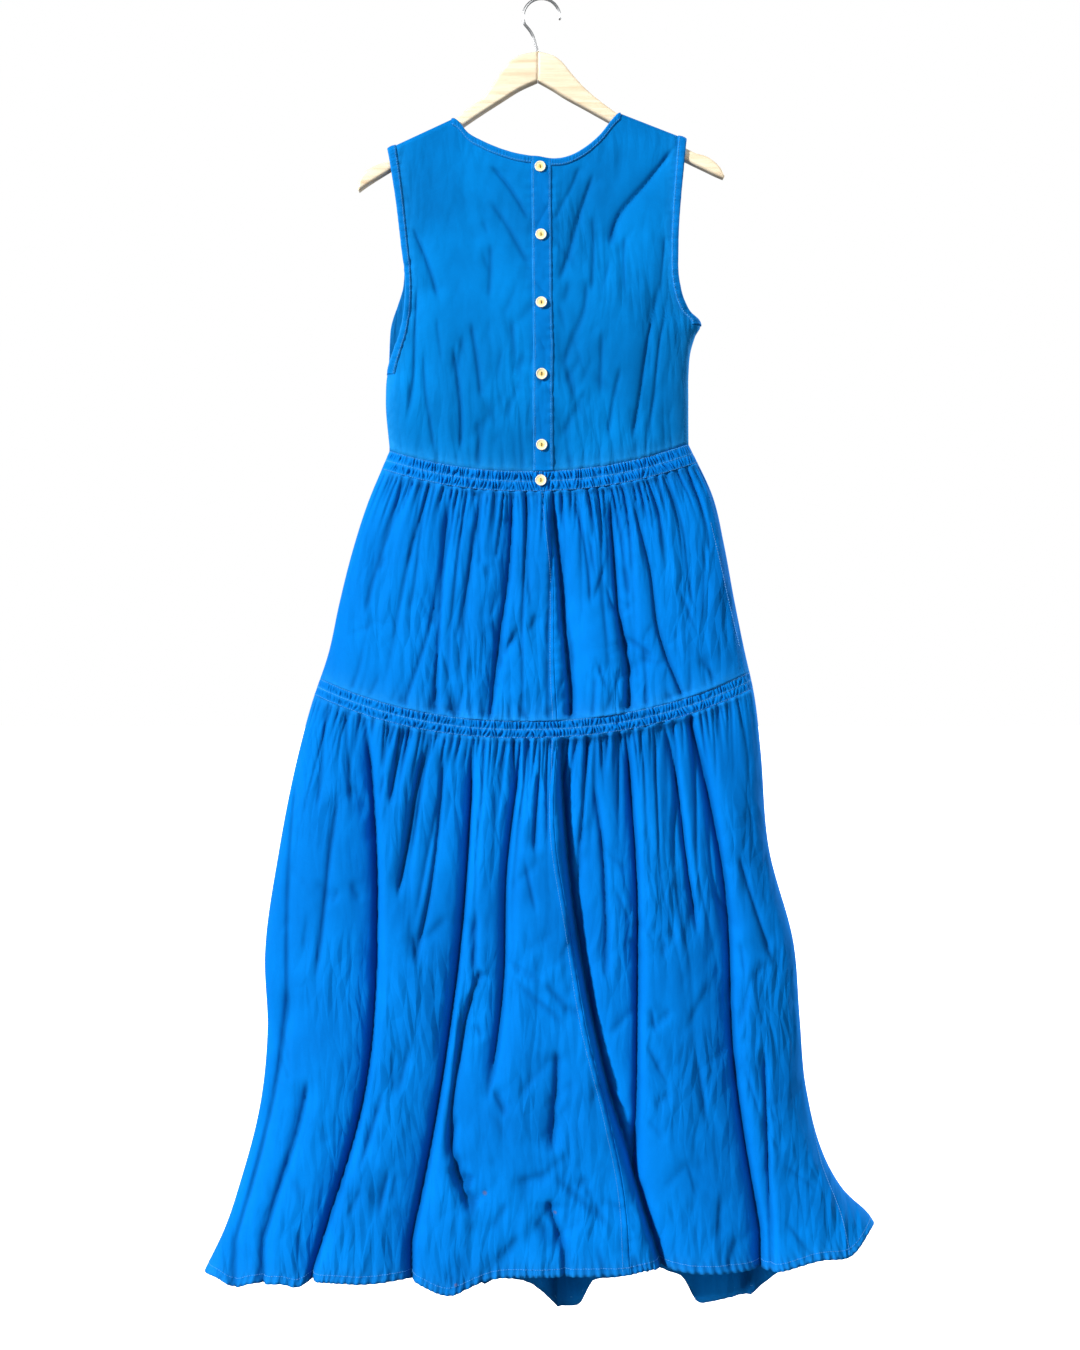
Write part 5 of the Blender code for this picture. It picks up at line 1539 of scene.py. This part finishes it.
# tier, top, length down, first share, change of share and its power
SHORT_SEAMS = (("lower", 1340, 176, 0.965, -0.10, 1.3), ("upper", 628, 150, 0.90, 0.035, 1.0))
rows = []
for tier, facts in TIERS.items():
    height = facts["top"] + (facts["bottom"] - facts["top"]) * (0.004 + 0.992 * fine)
    share = seam_share(height) - 0.020
    rows.append(seam_line(on_tier(tier, BACK), share, height, BACK, CLOTH_STITCH_LIFT))
share = np.linspace(-0.997, 0.997, HEM_POINTS)
height = np.full_like(share, HEM - HEM_WIDTH)
for side in (BACK, FRONT):
    rows.append(seam_line(on_tier("lower", side), share, height, side, CLOTH_STITCH_LIFT))
for tier, top, length, first, change, power in SHORT_SEAMS:
    height, share = top + length * fine, first + change * fine**power
    rows.append(seam_line(on_tier(tier, BACK), share, height, BACK, CLOTH_STITCH_LIFT))
stitched("topstitch_skirt", rows)

# %% [markdown]
# The buttons are turned from pale shell: a cream rim, a yellower dished middle and two
# holes one above the other, sewn with brownish thread. One button is shaped with
# operators as by hand, then copied to the six places of the CAD buttons and tipped to
# lie along the placket.

# %% One button, shaped by hand
BUTTON_RADIUS, BUTTON_THICKNESS = 6.5 * MM, 2.2 * MM
# width and depth of the rim, the slope and the dish, from the outside in
BUTTON_RINGS = ((0.9 * MM, 0), (0.7 * MM, -0.55 * MM), (1.6 * MM, -0.10 * MM))
RIM_WIDTH, HOLE_APART, HOLE_RADIUS, DRILL_LENGTH = 0.35 * MM, 1.35 * MM, 0.75 * MM, 6 * MM
UPRIGHT = (math.pi / 2, 0, 0)


def select_only(piece=None):
    bpy.ops.object.select_all(action="DESELECT")
    if piece:
        bpy.context.view_layer.objects.active = piece
        piece.select_set(True)


select_only()
bpy.ops.mesh.primitive_cylinder_add(vertices=56, radius=BUTTON_RADIUS, depth=BUTTON_THICKNESS,
                                    rotation=UPRIGHT)
pattern = bpy.context.object
bpy.ops.object.transform_apply(location=True, rotation=True, scale=True)
bpy.ops.object.mode_set(mode="EDIT")
bpy.ops.mesh.select_mode(type="FACE")
bpy.ops.mesh.select_all(action="DESELECT")
bm = bmesh.from_edit_mesh(pattern.data)
for face in bm.faces:
    face.select = face.normal.y < -0.9 and len(face.verts) > 8
bm.select_flush_mode()
bmesh.update_edit_mesh(pattern.data)
for width, depth in BUTTON_RINGS:
    bpy.ops.mesh.inset(thickness=width, depth=depth)
bpy.ops.object.mode_set(mode="OBJECT")
rim = pattern.modifiers.new("rim", "BEVEL")
rim.width = RIM_WIDTH
rim.segments = 3
rim.angle_limit = math.radians(40)
bpy.ops.object.modifier_apply(modifier=rim.name)
print("button faces without its holes:", len(pattern.data.polygons))

# %% Two holes
for up in (-HOLE_APART, HOLE_APART):
    select_only()
    bpy.ops.mesh.primitive_cylinder_add(vertices=20, radius=HOLE_RADIUS, depth=DRILL_LENGTH,
                                        location=(0, 0, up), rotation=UPRIGHT)
    drill = bpy.context.object
    bpy.context.view_layer.objects.active = pattern
    cut = pattern.modifiers.new("hole", "BOOLEAN")
    cut.object = drill
    cut.solver = "EXACT"
    bpy.ops.object.modifier_apply(modifier=cut.name)
    bpy.data.objects.remove(drill, do_unlink=True)
print("button faces:", len(pattern.data.polygons))

# %% Shell
SHELL_FACE = {"Roughness": 0.28, "Coat Weight": 0.35, "Coat Roughness": 0.12}
PALE_SHELL, tree, shader = new_material("pale_shell", SHELL_FACE)
middle = node(tree, "ShaderNodeAttribute", attribute_name="from_middle").outputs["Fac"]
cloud = noise(tree, object_place(tree), 420.0, 4.0, 1.5)["Fac"]
shift = math_node(tree, "MULTIPLY", math_node(tree, "SUBTRACT", cloud, 0.5), 0.45)
colour = ramp(tree, math_node(tree, "ADD", middle, shift), (0.86, 0.62, 0.16, 1),
              (0.97, 0.92, 0.66, 1), 0.25, 0.85)
tree.links.new(colour, shader.inputs["Base Color"])
tree.links.new(bump(tree, cloud, 0.15, 0.0002), shader.inputs["Normal"])
distance = np.array([math.hypot(v.co.x, v.co.z) / BUTTON_RADIUS for v in pattern.data.vertices])
ring_mask = pattern.data.attributes.new("from_middle", "FLOAT", "POINT")
ring_mask.data.foreach_set("value", distance)
pattern.data.materials.append(PALE_SHELL)
smooth_faces(pattern.data)
select_only(pattern)
bpy.ops.object.shade_smooth_by_angle(angle=math.radians(35))
print("shell material:", PALE_SHELL.name)

# %% Six buttons in place
BUTTON_COUNT = 6
# drops of the placket's ends, and the step along it that gives a button its lean
PLACKET_TOP, PLACKET_END, LEAN_STEP = 189, 568, 0.01


def button_lean(number, drop):
    """How far the placket leans at a button. The last one hangs on the flat band."""
    if number == BUTTON_COUNT:
        return 0.0
    t = np.clip((drop - PLACKET_TOP) / (PLACKET_END - PLACKET_TOP), 0.01, 0.99)
    above, under = (bodice_surface(BACK, np.array([CENTRE_SHARE]), np.array([t + step]))[0]
                    for step in (-LEAN_STEP, LEAN_STEP))
    return math.atan2(under[1] - above[1], above[2] - under[2])


button_spots = []
for number in range(1, BUTTON_COUNT + 1):
    low, high = (np.array(corner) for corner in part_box(f"button_{number}"))
    centre = (low + high) / 2
    lean = button_lean(number, -centre[2] / MM)
    copy = bpy.data.objects.new(f"shell_button_{number}", pattern.data.copy())
    collection.objects.link(copy)
    spots = np.array([v.co for v in copy.data.vertices])
    turned = spots.copy()
    turned[:, 1] = spots[:, 1] * math.cos(lean) - spots[:, 2] * math.sin(lean)
    turned[:, 2] = spots[:, 2] * math.cos(lean) + spots[:, 1] * math.sin(lean)
    copy.data.vertices.foreach_set("co", (turned + centre).ravel())
    copy.data.update()
    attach(copy, "root")
    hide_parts(f"button_{number}")
    button_spots.append((centre, lean))
bpy.data.objects.remove(pattern, do_unlink=True)
print("buttons:", len(button_spots))

# %% [markdown]
# Three strands of brown thread run between the two holes of a button. Behind it the
# buttonhole is edged with short close stitches, which show a little above and below.

# %% Sewing of the buttons
STRANDS, STRAND_HALF, STRAND_RISE = (-0.28, 0.0, 0.28), 1.75, 0.62
HOLE_HALF, HOLE_STITCHES, HOLE_SINK, HOLE_GAP = 8.3, 34, 1.45, 0.15
HOLE_REACH, HOLE_END_REACH, HOLE_END = 1.15, 0.9, 7.9
ASIDE = np.array([MM, 0, 0])
sewing_rows, hole_rows = [], []
for centre, lean in button_spots:
    out = np.array([0, -math.cos(lean), -math.sin(lean)])
    up = np.array([0, -math.sin(lean), math.cos(lean)])
    for shift in STRANDS:
        ends = [centre + out * STRAND_RISE * MM + up * s * STRAND_HALF * MM + shift * ASIDE
                for s in (-1, 1)]
        sewing_rows.append((np.linspace(*ends, 12), np.tile(out, (12, 1))))
    for s in np.linspace(-HOLE_HALF, HOLE_HALF, HOLE_STITCHES):
        for hand in (-1, 1):
            reach = HOLE_REACH if abs(s) < HOLE_END else HOLE_END_REACH
            inner = centre - out * HOLE_SINK * MM + up * s * MM + hand * HOLE_GAP * ASIDE
            hole_rows.append((np.linspace(inner, inner + hand * reach * ASIDE, 4),
                              np.tile(out, (4, 1))))
stitched("button_sewing", sewing_rows, BROWN_THREAD, "buttons", pitch=5, length=2.6, radius=0.24)
stitched("buttonhole_edges", hole_rows, THREAD, "cotton", pitch=5, length=0.7, radius=0.2)

# %% [markdown]
# The hanger's arms are sawn from a plank of pale wood, with all edges rounded over, and
# meet in a mitre below the hook. Each arm starts as its flat outline, a filled curve,
# which is given the plank's thickness and a rounded edge, then made a mesh.

# %% Outlines of the hanger's arms
LEFT_ARM_TOP = ((-4.6, 63.5), (-16, 65.2), (-27, 68), (-37, 74.5), (-46, 84), (-58, 102),
                (-71, 119.4), (-88, 131.0), (-107.4, 146.4), (-147, 170.5), (-187, 195.5),
                (-198, 199.5), (-206, 203.5), (-216, 212), (-219.4, 220), (-220.6, 227))
LEFT_ARM_LOW = ((-218.6, 230.6), (-213, 226.3), (-206, 221.5), (-187, 209.5), (-147, 185.5),
                (-107.4, 161.5), (-71, 137), (-46, 121), (-27, 109), (-4.6, 98.6))
RIGHT_ARM_TOP = ((-4.2, 63.5), (6, 65.4), (15, 68.5), (25, 76), (34, 87), (52, 107), (70, 122.4),
                 (94.2, 139.6), (134, 160), (173.4, 179.6), (184, 184.8), (199, 189.6),
                 (209, 196.8), (216, 205), (219.4, 212.4))
RIGHT_ARM_LOW = ((217.6, 215.2), (209, 211.6), (199, 206.8), (173.4, 194.5), (134, 175), (94.2, 154.4),
                 (52, 131), (25, 116), (15, 109.5), (-4.2, 98.6))
ARM_HALF, ARM_ROUND = 7.0, 3.4
WOOD_FACE = {"Roughness": 0.42, "Coat Weight": 0.25, "Coat Roughness": 0.3}
GRAIN_STRETCH, PORE_STRETCH = (9, 130, 130), (180, 2200, 2200)


def curved_outline(rows, steps=6):
    """Points of a smooth curve through the rows."""
    rows = np.array(rows, dtype=float)
    run = np.concatenate([[0], np.cumsum(np.linalg.norm(np.diff(rows, axis=0), axis=1))])
    where = np.linspace(0, run[-1], len(rows) * steps)
    return np.stack([smooth(run, rows[:, 0], where), smooth(run, rows[:, 1], where)], axis=1)

print("points of an arm:", len(curved_outline(LEFT_ARM_TOP)) + len(curved_outline(LEFT_ARM_LOW)))

# %% Wood
def wood_material(name, tilt):
    made, tree, shader = new_material(name, WOOD_FACE)
    place = object_place(tree)
    grain = noise(tree, mapped(tree, place, (0, tilt, 0), GRAIN_STRETCH), 1.6, 6.0, 0.5)["Fac"]
    fleck = noise(tree, mapped(tree, place, (0, tilt, 0), PORE_STRETCH), 1.0)["Fac"]
    level = math_node(tree, "ADD", math_node(tree, "MULTIPLY", grain, 0.8),
                      math_node(tree, "MULTIPLY", fleck, 0.2))
    colour = ramp(tree, level, (0.80, 0.60, 0.38, 1), (0.97, 0.86, 0.64, 1), 0.3, 0.62)
    tree.links.new(colour, shader.inputs["Base Color"])
    tree.links.new(bump(tree, level, 0.12, 0.0003), shader.inputs["Normal"])
    return made


print("grain is stretched", GRAIN_STRETCH[1] // GRAIN_STRETCH[0], "times along an arm")

# %% Hanger arms
def traced(curve, route, level):
    """Gives a curve one straight-line spline through points (x, drop) in millimetres."""
    spline = curve.splines.new("POLY")
    spline.points.add(len(route) - 1)
    for point, (x, drop) in zip(spline.points, route):
        point.co = (x * MM, -drop * MM, 0, 1) if level else (x * MM, 0, -drop * MM, 1)
    return spline


def wooden_arm(name, upper, lower, node_name, tilt):
    shape = bpy.data.curves.new(name, "CURVE")
    shape.dimensions = "2D"
    shape.fill_mode = "BOTH"
    outline = np.concatenate([curved_outline(upper), curved_outline(lower)])
    traced(shape, outline, level=True).use_cyclic_u = True
    shape.extrude = (ARM_HALF - ARM_ROUND) * MM
    shape.bevel_depth = ARM_ROUND * MM
    shape.bevel_resolution = 5
    shape.offset = -ARM_ROUND * MM
    piece = bpy.data.objects.new(name, shape)
    collection.objects.link(piece)
    select_only(piece)
    piece.rotation_euler = UPRIGHT
    bpy.ops.object.convert(target="MESH")
    bpy.ops.object.transform_apply(location=True, rotation=True, scale=True)
    outward(piece.data, 0.02 * MM)
    smooth_faces(piece.data)
    bpy.ops.object.shade_smooth_by_angle(angle=math.radians(40))
    piece.data.materials.clear()
    piece.data.materials.append(wood_material(name + "_wood", tilt))
    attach(piece, "root")
    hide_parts(node_name)
    print(name, "faces:", len(piece.data.polygons))


wooden_arm("wooden_arm_left", LEFT_ARM_TOP, LEFT_ARM_LOW, "hanger_arm_left", math.radians(33))
wooden_arm("wooden_arm_right", RIGHT_ARM_TOP, RIGHT_ARM_LOW, "hanger_arm_right", math.radians(-29))

# %% [markdown]
# The hook is one length of round plated wire: a stem that leans out of the wood and a
# round crook over the rail. A curve with a round bevel is exactly that, and its last
# points are thinned so that the cut end is rounded off.

# %% Hook
WIRE_RADIUS = 1.75
STEM = ((-4.4, 62.6), (-5.6, 59.0), (-7.6, 52.0), (-10.0, 44.0), (-13.2, 37.9), (-17.3, 32.4))
CROOK_HEIGHT, CROOK_RADIUS, CROOK_TURN = 20.25, 22.0, (205, -10)
turns = np.radians(np.linspace(*CROOK_TURN, 60))
crook = np.stack([CROOK_RADIUS * np.cos(turns),
                  CROOK_HEIGHT - CROOK_RADIUS * np.sin(turns)], axis=1)
wire = bpy.data.curves.new("wire_hook", "CURVE")
wire.dimensions = "3D"
wire.bevel_depth = WIRE_RADIUS * MM
wire.bevel_resolution = 6
wire.use_fill_caps = True
spline = traced(wire, np.concatenate([curved_outline(STEM, 5)[:-2], crook]), level=False)
spline.points[-1].radius = 0.55
spline.points[-2].radius = 0.93
hook = bpy.data.objects.new("wire_hook", wire)
collection.objects.link(hook)
select_only(hook)
bpy.ops.object.convert(target="MESH")
outward(hook.data, 0.01 * MM)
print("hook faces:", len(hook.data.polygons))

# %% Plated wire
plating, tree, shader = new_material("plated_wire", {"Base Color": (0.78, 0.79, 0.80, 1),
                                                     "Metallic": 1.0})
scuff = noise(tree, object_place(tree), 500.0, 4.0)["Fac"]
spread = node(tree, "ShaderNodeMapRange", {"Value": scuff, "To Min": 0.10, "To Max": 0.30})
tree.links.new(spread.outputs["Result"], shader.inputs["Roughness"])
hook.data.materials.clear()
hook.data.materials.append(plating)
smooth_faces(hook.data)
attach(hook, "root")
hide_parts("hook")
print("hook material:", plating.name)

# %% [markdown]
# The photo is a cut-out on white, lit softly from the upper left. The world is dim, so
# that the folds keep their shadows, but the camera sees it as plain white. One lamp on
# the left shapes the folds, and a weaker, wider one on the right keeps the shadows blue.
# Two more beyond the dress do the same for its far side. The floor is plain and pale.

# %% White world
WORLD_STRENGTH = 0.20
world = bpy.data.worlds.new("studio")
world.use_nodes = True
sky = world.node_tree
dim = sky.nodes["Background"]
dim.inputs["Color"].default_value = (0.96, 0.98, 1, 1)
dim.inputs["Strength"].default_value = WORLD_STRENGTH
seen = node(sky, "ShaderNodeLightPath").outputs["Is Camera Ray"]
white = node(sky, "ShaderNodeBackground", {"Color": (1, 1, 1, 1), "Strength": 1.0}).outputs[0]
mixed = node(sky, "ShaderNodeMixShader", {0: seen, 1: dim.outputs[0], 2: white}).outputs[0]
sky.links.new(mixed, sky.nodes["World Output"].inputs["Surface"])
bpy.context.scene.world = world
bpy.context.scene.view_settings.view_transform = "Standard"
print("world strength:", WORLD_STRENGTH)

# %% Lamps
def lamp(name, direction, strength, softness):
    """Distant lamp shining along a direction, with soft shadows."""
    data = bpy.data.lights.new(name, "SUN")
    data.energy = strength
    data.angle = math.radians(softness)
    made = bpy.data.objects.new(name, data)
    made.rotation_euler = Vector(direction).to_track_quat("-Z", "Y").to_euler()
    collection.objects.link(made)


lamp("key", (0.72, 0.60, -0.36), 4.8, 6)
lamp("fill", (-0.45, 0.85, -0.20), 0.75, 40)
lamp("far_side", (-0.76, -0.52, -0.38), 4.2, 6)
lamp("far_fill", (0.80, -0.55, -0.25), 0.9, 30)

# %% Floor
FLOOR_SIZE, FLOOR_HEIGHT = 60, -1.78
FLOOR_FACE = {"Base Color": (0.98, 0.98, 0.98, 1), "Roughness": 0.95,
              "Emission Color": (1, 1, 1, 1), "Emission Strength": 0.85}
select_only()
bpy.ops.mesh.primitive_plane_add(size=FLOOR_SIZE, location=(0, 0, FLOOR_HEIGHT))
floor = bpy.context.object
floor.name = "floor"
floor.visible_diffuse = False
floor.visible_glossy = False
floor.data.materials.append(new_material("pale_floor", FLOOR_FACE)[0])
floor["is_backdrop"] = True
print("floor, m:", FLOOR_SIZE)

# %% Sizes, and the end
low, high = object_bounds()
print("visual box, mm:", [round(1000 * (b - a)) for a, b in zip(low, high)])
